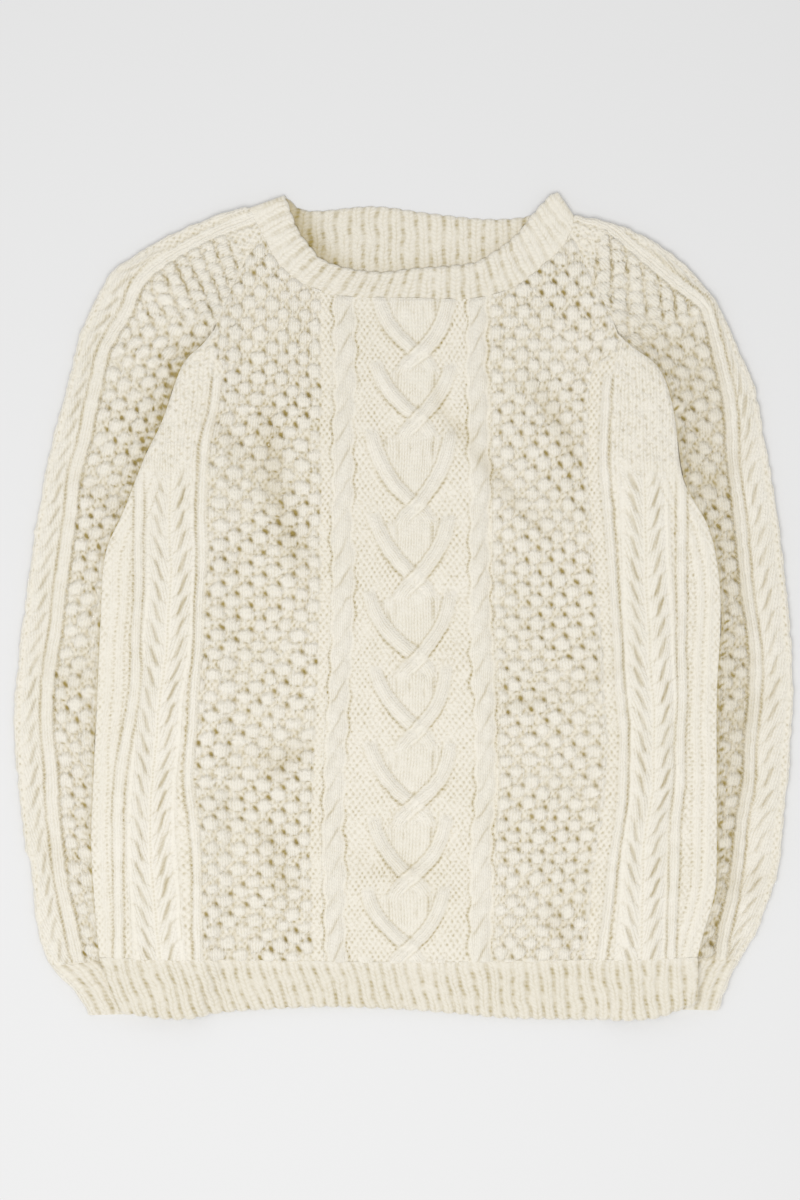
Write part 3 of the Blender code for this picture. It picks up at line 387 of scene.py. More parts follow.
def level(rows, step=4.0):
    """A smooth line from rows of across and height, as points across and along the garment."""
    return smooth_line([(across, height - LENGTH / 2) for across, height in rows], step)


def upright(rows, step=6.0):
    """A smooth line from rows of height and across."""
    return level([(across, height) for height, across in rows], step)


def joined(*tables):
    """One line up the garment from tables that start at the top, each smooth on its own."""
    lines = [upright(rows)[::-1] for rows in tables]
    return np.vstack([lines[0]] + [line[1:] for line in lines[1:]])


def from_height(height):
    """A height above the hem as the model's y."""
    return height - LENGTH / 2


def across_at(line, y):
    """Where a line that runs up the garment lies across, at each y."""
    order = np.argsort(line[:, 1])
    return np.interp(y, line[order, 1], line[order, 0])


def along_at(line, x):
    """How far up the garment a line that runs across lies, at each x."""
    order = np.argsort(line[:, 0])
    return np.interp(x, line[order, 0], line[order, 1])


def stretch(line, start, end):
    """The part of a line that runs across, between two places across."""
    inner = line[(line[:, 0] > start + 0.5) & (line[:, 0] < end - 0.5)]
    ends = [(x, along_at(line, x)) for x in (start, end)]
    return np.vstack([ends[0], inner, ends[1]])


def beside(places, line, chunk=20000):
    """How far each place is from a line, and how far along the line the nearest point is."""
    start, edge = line[:-1], np.diff(line, axis=0)
    reach = np.maximum(np.linalg.norm(edge, axis=1), 1e-6)
    before = np.concatenate([[0], np.cumsum(reach)[:-1]])
    found, along = [], []
    for i in range(0, len(places), chunk):
        offset = places[i:i + chunk, None, :] - start[None]
        share = np.clip((offset * edge[None]).sum(axis=2) / (reach**2)[None], 0, 1)
        apart = np.linalg.norm(offset - share[..., None] * edge[None], axis=2)
        nearest = apart.argmin(axis=1)
        rows = np.arange(len(nearest))
        found.append(apart[rows, nearest])
        along.append(before[nearest] + share[rows, nearest] * reach[nearest])
    return np.concatenate(found), np.concatenate(along)


def apart(places, *lines):
    """How far each place is from the nearest of some lines."""
    return np.min([beside(places, line)[0] for line in lines], axis=0)


def unit(vector):
    """The vector with length 1."""
    return vector / np.linalg.norm(vector)


# ---- soft numbers -------------------------------------------------------------------------------

def ease(share):
    """0 below 0, 1 above 1, and a smooth rise between."""
    share = np.clip(share, 0, 1)
    return share * share * (3 - 2 * share)


def ease_round(share):
    """A rise along half a cosine wave."""
    return 0.5 - 0.5 * np.cos(math.pi * np.clip(share, 0, 1))


def fade_in(y, height, over):
    """0 up to a height, and 1 after a smooth rise over that length."""
    return ease((y - from_height(height)) / over)


def fade_out(y, height, over):
    """1 until that length below a height, and 0 above it."""
    return ease((from_height(height) - y) / over)


def near(distance, width):
    """1 at no distance, fading over about the width."""
    return np.exp(-((distance / width) ** 2))


def fraction(value):
    """The part of a number after its point."""
    return value - np.floor(value)


def dome(share):
    """A half-round profile: 1 in the middle, 0 at a share of 1 and past it."""
    return np.sqrt(np.clip(1 - share**2, 0, 1))


def wobble(x, y, size, seed):
    """Slow irregular waves, from about -1 to 1, of that size in millimetres."""
    chance = np.random.default_rng(seed)
    total = np.zeros(np.broadcast(x, y).shape)
    for _ in range(6):
        heading, phase = chance.uniform(0, 2 * math.pi, 2)
        pace = 2 * math.pi / (size * chance.uniform(0.7, 1.7))
        total += np.sin((x * math.cos(heading) + y * math.sin(heading)) * pace + phase)
    return total / 3


def unsteady(places, sway, seed):
    """The places moved a little, so that lines of stitches run unevenly: across and along."""
    x, y = places.T
    return (
        x + 1.0 * wobble(x, y, 60, seed) + 0.35 * wobble(x, y, 9, seed + 2),
        y + sway * wobble(x, y, 70, seed + 1) + 0.45 * wobble(x, y, 8, seed + 3),
    )


# ---- stitches -----------------------------------------------------------------------------------

def bricks(wale, course):
    """Purl bumps laid like bricks, from 0 between them to 1."""
    return 0.5 + 0.5 * np.cos(2 * math.pi * wale) * np.cos(math.pi * course)


class Knitting:
    """What the stitches do at each place: how far they stand out, their kind and their shade.

    wale counts stitches across and course counts rows up. knit is 1 on smooth stitches and 0 on
    purl bumps. drawn is 1 where single stitches show clearly. Painted shade is 0 in the open and 1
    deep between stitches.
    """

    def __init__(self, wale, course):
        self.wale, self.course = wale.copy(), course.copy()
        bump = bricks(wale, course)
        self.height = knit_size("purl") * (bump - 0.6)
        self.knit = np.zeros(len(wale))
        self.drawn = np.ones(len(wale))
        # painted shade between the purl bumps, in uneven patches
        patchy = np.sin(wale / 3.1 + np.sin(course / 9)) * np.sin(course / 4.3 + wale / 7)
        self.painted_shade = 0.05 + (0.07 + 0.07 * patchy) * (1 - bump) ** 3

    def lay(self, share, height, painted_shade=0.0, knit=1.0, wale=None, course=None):
        """Covers what is there with other stitches, as far as share says."""
        self.height += (height - self.height) * share
        self.painted_shade += (painted_shade - self.painted_shade) * share
        self.knit += (knit - self.knit) * share
        if wale is not None:
            taken = share > 0.5
            self.wale[taken], self.course[taken] = wale[taken], course[taken]

    def sink(self, share, depth, painted_shade):
        """Presses the stitches down and paints shade where they are pressed."""
        self.height -= share * depth
        self.painted_shade = np.maximum(self.painted_shade, share * painted_shade)

    def rungs(self, least, lean=0.0):
        """The rows of a ladder: 1 in its holes, and least on the threads between them."""
        return least + (1 - least) * np.cos(math.pi * (self.course + lean)) ** 2

    def values(self):
        """What the material needs of each place."""
        return np.stack([self.wale, self.course, self.knit, self.drawn, self.painted_shade], axis=-1)


def smooth_stitches(wale, course):
    """The V-shaped legs of smooth stitches, from 0 to 1."""
    side = np.abs(fraction(wale) - 0.5)
    legs = 0.4 + 0.6 * np.abs(np.sin(2 * math.pi * side))
    return legs * (0.7 + 0.3 * np.cos(2 * math.pi * (course - 1.5 * side)))


def plain_knit(cloth, share, height=0.6):
    """Smooth stitches with nothing worked into them."""
    stitches = smooth_stitches(cloth.wale, cloth.course)
    # a little painted shade between the stitches
    cloth.lay(share, height + 0.35 * stitches, painted_shade=0.08 * (1 - stitches), knit=1.0)


def twisted_rib(cloth, off, height=None, ladder=0.95, share=1.0, holes=0,
                width=RIB_WIDTH, double=False):
    """A raised rib of twisted stitches with a ladder of small holes down each side.

    ladder says how much shade is painted in the holes, and holes is the side, 1 or -1, on which
    more is painted.
    """
    height = knit_size("rib") if height is None else height
    place = np.abs(off) / (width / 2)
    crown = height * (dome(place) ** 0.7) * (0.92 + 0.08 * np.cos(2 * math.pi * cloth.course))
    if double:
        crown -= 0.7 * near(off, 0.9)
    rungs = cloth.rungs(0.25, 0.25 * off)
    dark = ladder * np.where(off * holes < 0, 0.35, 1.0) * (0.8 + 0.2 * np.sin(cloth.course / 2.7))
    cloth.lay(ease((1.1 - place) / 0.3) * share, crown)
    cloth.sink(near(np.abs(off) - width / 2 - 1.2, 1.2) * rungs * share, 0.8, dark)


def rope_cable(cloth, off, y):
    """A rope cable: two strands wound round each other, seen as one strand over the next."""
    bulge = 1 + 0.13 * np.cos(2 * math.pi * y / ROPE_PITCH + np.where(off > 0, 1.4, -1.6))
    place = off / (bulge * ROPE_WIDTH / 2)
    side = np.clip(place, -1, 1)
    turn = fraction(y / ROPE_PITCH - 0.42 * side - 0.08 * np.sin(math.pi * side))
    body = 0.5 + 0.5 * np.cos(math.pi * np.abs(side) ** 1.6)
    patchy = 0.6 + 0.4 * np.sin(y / 17 + off / 9)
    slit = near(np.minimum(turn, 1 - turn), 0.07) * (1 - side**2) * patchy
    wale, along = cloth.wale + 0.12 * off, cloth.course + 0.12 * off
    crown = knit_size("cable") * body * (0.4 + 0.6 * np.sin(math.pi * turn) ** 0.9)
    # shade is painted into the slits between the strands and into the holes down its sides
    cloth.lay(ease((1.1 - np.abs(place)) / 0.4), crown + 0.3 * smooth_stitches(wale, along),
              painted_shade=0.42 * slit, wale=wale, course=along)
    cloth.sink(near(np.abs(place) - 1.06, 0.11) * cloth.rungs(0.25, 0.2 * off) * patchy, 0.6, 0.9)


def leaf_column(cloth, off, y, half, lean, share, slit_shade, height=None):
    """A column of steep overlapping leaves that lean right going up, or left where lean is -1.

    Each leaf runs from the column's outer edge down to its inner edge, and a slit shaped like a
    grain parts it from the next.
    """
    height = 0.8 * knit_size("cable") if height is None else height
    side = np.clip(off / half, -1, 1)
    across = lean * off / (0.5 * half)
    climb = 0.66 * WHEAT_PITCH  # from a leaf's middle to its tip
    up_leaf = climb * np.tanh(across)
    steep = climb / (0.5 * half) / np.cosh(across) ** 2
    turn = fraction((y - up_leaf) / WHEAT_PITCH)
    apart_by = np.minimum(turn, 1 - turn) * WHEAT_PITCH / np.sqrt(1 + steep**2)
    lens = dome(up_leaf / (0.46 * WHEAT_PITCH))
    slit = near(apart_by / (0.2 + 1.5 * lens), 1.0) * ease(lens * 1.6)
    slit = np.maximum(slit * (0.8 + 0.2 * np.sin(y / 13 + lean)), 0.3 * near(apart_by, 0.8))
    body = (0.5 + 0.5 * np.cos(math.pi * side)) ** 0.5
    crown = height * body * (0.62 + 0.38 * np.sin(math.pi * turn**0.8))
    wale = cloth.wale - lean * 0.05 * (y - from_height(WHEAT_TOP))
    crown += 0.35 * smooth_stitches(wale, cloth.course) - 1.2 * slit
    inside = ease((1.12 - np.abs(off) / half) / 0.4) * share
    cloth.lay(inside, crown, painted_shade=slit_shade * slit, wale=wale, course=cloth.course)


def wheat_cable(cloth, off, y, share):
    """A wheat cable: leaves that rise steeply outward on both sides of a stem."""
    plain_knit(cloth, ease((WHEAT_HALF_WIDTH - np.abs(off)) / 3) * share, 1.3)
    # which way a side's leaves lean, how much lower they start and how much shade is painted in
    # their slits
    for lean, lower, slit_shade in ((1, 0.0, 0.62), (-1, 0.3 * WHEAT_PITCH, 0.5)):
        on_side = share * (off > 0 if lean > 0 else off <= 0)
        from_leaves = off - lean * (LEAF_HALF_WIDTH + 0.2)
        leaf_column(cloth, from_leaves, y + lower, LEAF_HALF_WIDTH, lean, on_side, slit_shade)
    # the stem's small holes, painted with shade
    cloth.sink(near(off, 0.9) * share * cloth.rungs(0.2), 0.4, 0.4)


def diamond_cable(cloth, off, y):
    """The middle cable: two strands that cross, part and cross again, with one always on top.

    Two arms rise from each crossing in a wide V and sink upright into the ground. Below a crossing
    its strands run on as the shoulders of a bell of smooth stitches.
    """
    height = 0.85 * knit_size("cable")
    crossings = from_height(np.array(DIAMOND_CROSSINGS, float))
    cell = np.clip(np.searchsorted(crossings, y) - 1, 0, len(crossings) - 2)
    above, below = y - crossings[cell], crossings[cell + 1] - y
    reach = DIAMOND_SHOWN * (above + below)
    bow = np.clip(above / reach, 0, 1)
    swings, slopes = [], []
    for spread, steep in zip(DIAMOND_SPREAD, DIAMOND_LEAN):
        bent_out = steep * above / spread
        swings.append(spread * np.tanh(bent_out) * (1 + 0.06 * np.sin(2.7 * cell)))
        slopes.append(steep / np.cosh(bent_out) ** 2)
    # smooth stitches between the arms, and the bell with shade painted into a few folds beside it
    filled = np.minimum(np.where(off < 0, *swings) + 1, 5 + 38 * ease_round(below / 30))
    plain_knit(cloth, ease((filled - np.abs(off)) / 8), 0.9)
    from_bell = np.abs(off + 2) - BELL_HALF_WIDTH * ease_round(below / BELL_DEPTH)
    plain_knit(cloth, ease(-from_bell / 5) * ease((40 - below) / 16), 2.1)
    shade = np.where(off > 0, 0.62, 0.3) * ease((42 - below) / 14) * ease((below - 3) / 5)
    rungs = cloth.rungs(0.45)
    cloth.sink(near(from_bell - 0.4, 1.3) * shade * rungs, 0.9, 0.9)
    for place, down, dark in DIAMOND_FOLDS:
        fold = near(off - place - 0.15 * (below - down), 1.2) * near(below - down, 5)
        cloth.sink(fold * (0.6 + 0.4 * np.sin(2.3 * cell + place)), 1.0, dark)
    # a small pressed spot above each crossing, painted with shade
    cloth.sink(near(off, 2.2) * near(above - 9.5, 2.2), 1.0, 0.6)
    arm = 1 - ease((bow - 0.75) / 0.25)
    turned = 0.5 * math.pi * np.clip(below / 20, 0, 1)
    bend, bent = np.sin(turned), 1.1 * np.cos(turned)
    tail = (1 - ease((below - 8) / 16)) * (below < above)
    low = ease((34 - above) / 20)
    # path, its slope, its end, how far it stands out, its rise at a crossing, the shade painted
    # along its rims
    for path, lean, end, shown, rise_there, left_shade, right_shade in (
        (12 * bend, -0.9 * bent, 12, 0.75 * tail, -0.9, 0.2, 0.2),
        (-swings[0], -slopes[0], -DIAMOND_SPREAD[0], arm, -0.7, 0.35 + 0.5 * low, 0.5),
        (-14 * bend, bent, -14, tail, 0.5, 0.35, 0.3),
        (swings[1], slopes[1], DIAMOND_SPREAD[1], arm, 0.5, 0.55, 0.25 + 0.6 * low),
    ):
        off_path = (off - path) / np.sqrt(1 + lean**2)
        place = np.abs(off_path) / (DIAMOND_STRAND / 2)
        wale = cloth.wale + (end - off) / 5.0 + off_path / 4.2
        along = cloth.course - 0.3 * (1 - bow) ** 2 * reach / knit_size("row") * (np.abs(end) > 20)
        proud = height * shown + rise_there * near(np.minimum(above, below), 9.0)
        crown = 0.9 + proud * (0.5 + 0.5 * np.cos(math.pi * np.clip(place, 0, 1)))
        rim = near(place - 1.02, 0.16) * shown * np.where(off_path > 0, right_shade, left_shade)
        cloth.sink(rim * rungs, 0.6, 1.0)
        cloth.lay(ease((1.08 - place) / 0.5) * ease(shown * 1.3),
                  crown + 0.4 * smooth_stitches(wale, along), wale=wale, course=along)


def lay_bobbles(cloth, share, crown, shades):
    """Covers the cloth with bobbles that stand out as crown says.

    shades says how much shade is painted everywhere, in the valleys between them and in the
    valleys' gaps.
    """
    everywhere, in_valleys, in_gaps = shades
    valley = 1 - ease(crown / (0.5 * knit_size("bobble")))
    gaps = (1 - bricks(cloth.wale, cloth.course)) ** 2
    cloth.lay(share, crown + 0.5 * smooth_stitches(cloth.wale, cloth.course),
              painted_shade=everywhere + (in_valleys + in_gaps * gaps) * valley, knit=1 - 0.7 * valley)


def bobble_cloth(cloth, across, up, share, places, facing, deep=1.0):
    """Bobbles in a lattice: across counts half spacings and up counts rows, each offset by half.

    share says where bobbles are worked, facing is -1 where across counts leftwards, and deep says
    how much shade is painted in the holes. Each bobble has a slanting hole at its lower left, and a
    knot of stitches stands above that hole.
    """
    tall = knit_size("bobble")
    crown, pits, small = np.zeros((3, len(across)))
    lower = np.floor(up)
    rough = 0.16 * wobble(*places.T, 5, 41) + 0.08 * wobble(*places.T, 19, 42)
    for row in (lower - 1, lower, lower + 1, lower + 2):
        parity = row % 2
        nearest = 2 * np.round((across - 0.5 - parity) / 2) + parity
        hole = 2 * np.round((across - 1.5 + parity) / 2) + 1 - parity
        chance = np.sin(12.9898 * nearest + 78.233 * row + 0.7 * np.sin(5.1 * row))
        other = np.sin(39.346 * nearest + 11.135 * row + 1.3)
        size = 1 + 0.14 * chance
        dx = (across - 0.5 - nearest) * facing * BOBBLE_SPACING / 2 - 1.0 * other
        dy = (up - row) * BOBBLE_ROW - 0.9 * np.cos(2.3 * nearest + 1.9 * row)
        from_middle = np.hypot(dx / BOBBLE_HALF[0], dy / BOBBLE_HALF[1]) / size + rough
        crown = np.maximum(crown, tall * size * dome(from_middle) ** 0.8)
        knot_x = (across - 0.5 - hole) * facing * BOBBLE_SPACING / 2 + 2.0 + 0.8 * other
        knot_y = (up - row) * BOBBLE_ROW - 0.8 + 1.0 * np.sin(7.7 * hole + 3.1 * row)
        knot = dome(np.hypot(knot_x / KNOT_HALF[0], knot_y / KNOT_HALF[1]) + rough)
        crown = np.maximum(crown, (0.42 + 0.14 * np.sin(5.3 * hole + row)) * tall * knot)
        strong = np.clip(0.72 + 0.5 * other * np.cos(4.1 * row + nearest), 0.2, 1.1)
        slant = dx + 7.2 + 0.45 * (dy + 2.6)
        pits = np.maximum(pits, strong * near(slant, 1.8) * near(dy + 2.6, 2.5))
        # the small holes round a bobble: how much shade is painted in each, its place, its half
        # width and height
        for dark, x, y, wide, high in (
            (0.65 + 0.35 * chance, dx - 7.0, dy + 2.8, 1.2, 1.5),
            (0.65 - 0.35 * other, dx - 2.0 + chance, dy + 5.9, 2.2, 0.8),
            (0.55 + 0.4 * other, dx + 5.0, dy - 4.8, 1.4, 0.9),
        ):
            small = np.maximum(small, dark * near(x, wide) * near(y, high))
    lay_bobbles(cloth, share, crown, (0.0, 0.09, 0.23))
    # the holes are pressed in and painted with shade
    cloth.sink(small * share, 0.6, 0.85 * deep)
    cloth.sink(pits * share, 1.8, 1.5 * deep)


def bobble_columns(cloth, across, y, share, places):
    """Bobbles stacked in upright columns, with long wavy holes between the columns, painted with
    shade.
    """
    column = np.round(across)
    dx = (across - column) * COLUMN_SPACING
    up = y / COLUMN_ROW + 0.4 * np.sin(2.1 * column)
    dy = (up - np.round(up)) * COLUMN_ROW
    rough = 0.14 * wobble(*places.T, 5, 41) + 0.08 * wobble(*places.T, 15, 43)
    from_middle = np.hypot(dx / COLUMN_HALF[0], dy / COLUMN_HALF[1]) + rough
    crown = knit_size("bobble") * dome(from_middle) ** 0.8
    lay_bobbles(cloth, share, crown, (0.02, 0.1, 0.3))
    edge = np.abs(dx) - COLUMN_SPACING / 2 + 0.9 * np.cos(2 * math.pi * up)
    long = near(edge, 1.1) * ease(0.4 + 0.9 * wobble(*places.T, 20, 55))
    cloth.sink(long * share, 0.9, 0.85)


def trough(places, points, width):
    """How deep each place lies in a soft trough, uneven and fading at both ends: 0 to about 1."""
    line = level(points)
    off, along = beside(places, line)
    share = along / length_of(line)
    uneven = 0.85 + 0.3 * wobble(*places.T, 45, 61)
    return near(off, width) * ease(3 * share) * ease(3 * (1 - share)) * uneven


def settle(cloth, places, creases):
    """Lays soft troughs into the cloth and paints shade into them."""
    for points, width, depth, shade in creases:
        fold = trough(places, points, width)
        cloth.height -= depth * fold
        cloth.painted_shade = np.clip(cloth.painted_shade + shade * fold, 0, 1)


def welt(cloth, ribs, up, height=None):
    """A 1x1 rib: ribs counts pairs of stitches across and up counts rows."""
    height = knit_size("welt") if height is None else height
    x, y = ribs * WELT_RIB_PITCH, up * knit_size("row")
    ribs = ribs + 0.05 * wobble(x, y, 9, 71)
    place = fraction(ribs) - 0.5
    from_groove = np.abs(place) - 0.5
    wale = place * 1.25 + 0.5 + np.floor(ribs)
    legs = smooth_stitches(wale, up)
    patchy = np.clip(0.42 + 0.75 * wobble(x, y, 9, 72), 0, 1)
    crown = (height + 0.4 * legs) * (1 - near(from_groove, 0.2) * (0.6 + 0.4 * patchy))
    cloth.lay(np.ones(len(ribs)), crown, wale=wale, course=up)
    # shade painted into the grooves in broken patches, and a little between the stitches
    line = near(from_groove, 0.11) * (0.12 + 0.55 * patchy) * cloth.rungs(0.4)
    cloth.painted_shade = 0.06 + 0.08 * (1 - legs) + line


def crest(ribs):
    """The rounded end of each rib: 0 in the grooves and 1 on the ribs."""
    return dome((fraction(ribs) - 0.5) / WELT_CREST)


# ---- how the layers lie -------------------------------------------------------------------------

def lift(x, y):
    """How far the back's underside is raised by the sleeves that lie under it."""
    left, right = (upright(SLEEVE_SEAM[name] + CUFF_SEAM[name][1:]) for name in SIGNS)
    inward = np.minimum(x - across_at(left, y), across_at(right, y) - x)
    slope = 1 - ease_round((inward - SLOPE_FROM) / (SLOPE_TO - SLOPE_FROM))
    fade = 1 - ease_round((y - from_height(SHOULDER_FROM)) / (SHOULDER_TO - SHOULDER_FROM))
    return LIFT * slope * fade


def rise(places, raglan):
    """How far a sleeve's upper layer rises near its raglan seam, to meet the lifted front."""
    if raglan is None:
        return 0.0
    x, y = places.T
    seam = across_at(raglan, y)
    height, share = np.array(RAGLAN_RISE).T
    distance, fall = np.array(RAGLAN_FALL).T
    meeting = lift(seam, y) * np.interp(y, from_height(height), share)
    return meeting * np.interp(np.abs(x - seam), distance, fall)


def roll(distance, radius):
    """How far a surface falls within a rounded edge, at that distance from the edge."""
    radius = np.maximum(radius, 1e-6)
    inward = radius - np.clip(distance, 0, radius)
    return radius - np.sqrt(np.maximum(radius**2 - inward**2, 0))


# ---- meshes -------------------------------------------------------------------------------------

def patch(bottom, top, left, right, across, up):
    """A net of places inside four lines, at shares across and up: an array of rows."""
    low, high = at_shares(bottom, across), at_shares(top, across)
    west, east = at_shares(left, up), at_shares(right, up)
    u, v = across[None, :, None], up[:, None, None]
    ruled = (1 - v) * low[None] + v * high[None] + (1 - u) * west[:, None] + u * east[:, None]
    corners = ((1 - u) * (1 - v) * bottom[0] + u * (1 - v) * bottom[-1]
               + (1 - u) * v * top[0] + u * v * top[-1])
    return ruled - corners


def between(one, other, shares):
    """A net of places between two lines, point by point, at those shares of the way across."""
    return one[:, None] + (other - one)[:, None] * shares[..., None]


def raised(net, height):
    """The places of a net at that height, or at their own heights."""
    return np.dstack([net, np.resize(height, net.shape[:2])])


def with_edges(count, width, start=True, end=True):
    """Even shares from 0 to 1 with more of them close to an edge that is rounded."""
    shares = np.linspace(0, 1, count + 1)
    close = np.array(ROUNDED_AT) / width
    extra = ([close] if start else []) + ([1 - close] if end else [])
    return np.unique(np.concatenate([shares, *extra]))


def round_values(cloth, sections, shown, painted_shade=0.0):
    """The stitches of closed sections: those that show come first, and the rest run on evenly, with
    the painted shade given.
    """
    rows, around = sections.shape[:2]
    values = np.zeros((rows, around, 5))
    values[:, :shown] = cloth.values().reshape(rows, shown, 5)
    values[:, shown:] = values[:, shown - 1:shown]
    steps = np.linalg.norm(np.diff(sections[:, shown - 1:], axis=1), axis=2)
    values[:, shown:, 0] += np.cumsum(steps, axis=1) / knit_size("stitch")
    values[:, shown:, 2:] = 1.0, 1.0, painted_shade
    return values


def steady_count(values):
    """1 where the count of stitches runs on evenly, and 0 on both sides of a jump in it."""
    steady = np.ones(values.shape[:2])
    for axis in (0, 1):
        jump = (np.abs(np.diff(values[..., :2], axis=axis)) > STEADY_STEP).any(axis=2)
        first, last = [(0, 0), (0, 0)], [(0, 0), (0, 0)]
        first[axis], last[axis] = (1, 0), (0, 1)
        steady *= 1 - (np.pad(jump, first) | np.pad(jump, last))
    return steady


def closed_cloth(name, sections, values, ring=False, edges=()):
    """An object whose skin is a row of closed sections, with the stitches at each place.

    edges are the places in a section at which the surface turns sharply. A ring's last section
    joins its first; otherwise both ends are closed.
    """
    sections = np.concatenate([sections, sections[:, :1]], axis=1)
    values = np.concatenate([values, values[:, :1]], axis=1)
    if ring:
        sections = np.concatenate([sections, sections[:1]])
        values = np.concatenate([values, values[:1]])
    rows, width = sections.shape[:2]
    bm = bmesh.new()
    bmesh.ops.create_grid(bm, x_segments=width - 1, y_segments=rows - 1, size=1)
    stitch = bm.verts.layers.float_vector.new("stitch")
    painted_shade = bm.verts.layers.float.new("painted_shade")
    drawn = bm.verts.layers.float.new("drawn")
    places = (sections.reshape(-1, 3) * MM).tolist()
    steady = steady_count(values).ravel().tolist()
    for vert, place, value, share in zip(bm.verts, places, values.reshape(-1, 5).tolist(), steady):
        vert.co = place
        vert[stitch] = value[:3]
        vert[drawn] = value[3] * share
        vert[painted_shade] = value[4]
    verts = bm.verts[:]
    for column in edges:
        line = verts[column::width]
        for ends in zip(line, line[1:]):
            bm.edges.get(ends).smooth = False
    meeting = verts[::width] + verts[width - 1::width]
    if ring:
        meeting += verts[:width] + verts[-width:]
    bmesh.ops.remove_doubles(bm, verts=list(dict.fromkeys(meeting)), dist=1e-7)
    open_edges = [edge for edge in bm.edges if edge.is_boundary]
    for edge in open_edges:
        edge.smooth = False
    if open_edges:
        caps = bmesh.ops.holes_fill(bm, edges=open_edges, sides=0)["faces"]
        bmesh.ops.triangulate(bm, faces=caps)
    bmesh.ops.recalc_face_normals(bm, faces=bm.faces[:])
    mesh = bpy.data.meshes.new(name)
    for face in bm.faces:
        face.smooth = True
    bm.to_mesh(mesh)
    bm.free()
    piece = bpy.data.objects.new(name, mesh)
    bpy.context.scene.collection.objects.link(piece)
    mesh.materials.append(aran_wool())
    return piece


def finish_piece(node_name, sections, values, flat, name=None, held="laid", rests_on=("floor",),
                 **shape):
    """Makes a piece in a CAD node's place: it hangs from the root, and the node is hidden."""
    piece = closed_cloth(name or node_name + "_knit", sections, values, **shape)
    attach(piece, "root")
    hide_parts(node_name)


def area_of(net):
    """The area of a net of places, in square metres."""
    one = net[1:, 1:] - net[:-1, :-1]
    other = net[1:, :-1] - net[:-1, 1:]
    cross = one[..., 0] * other[..., 1] - one[..., 1] * other[..., 0]
    return float(np.abs(cross).sum()) / 2 * MM * MM


def cut_of(net, wide):
    """The flat width and length in metres of a piece that starts from a seam of that length."""
    return wide * MM, area_of(net) / (wide * MM)


# ---- materials ----------------------------------------------------------------------------------

def node(tree, kind, inputs=None, **settings):
    """Adds a shader node with its settings, and its inputs as values or as sockets to link."""
    made = tree.nodes.new(kind)
    for name, value in settings.items():
        setattr(made, name, value)
    for socket, value in (inputs or {}).items():
        if isinstance(value, bpy.types.NodeSocket):
            tree.links.new(value, made.inputs[socket])
        else:
            made.inputs[socket].default_value = value
    return made


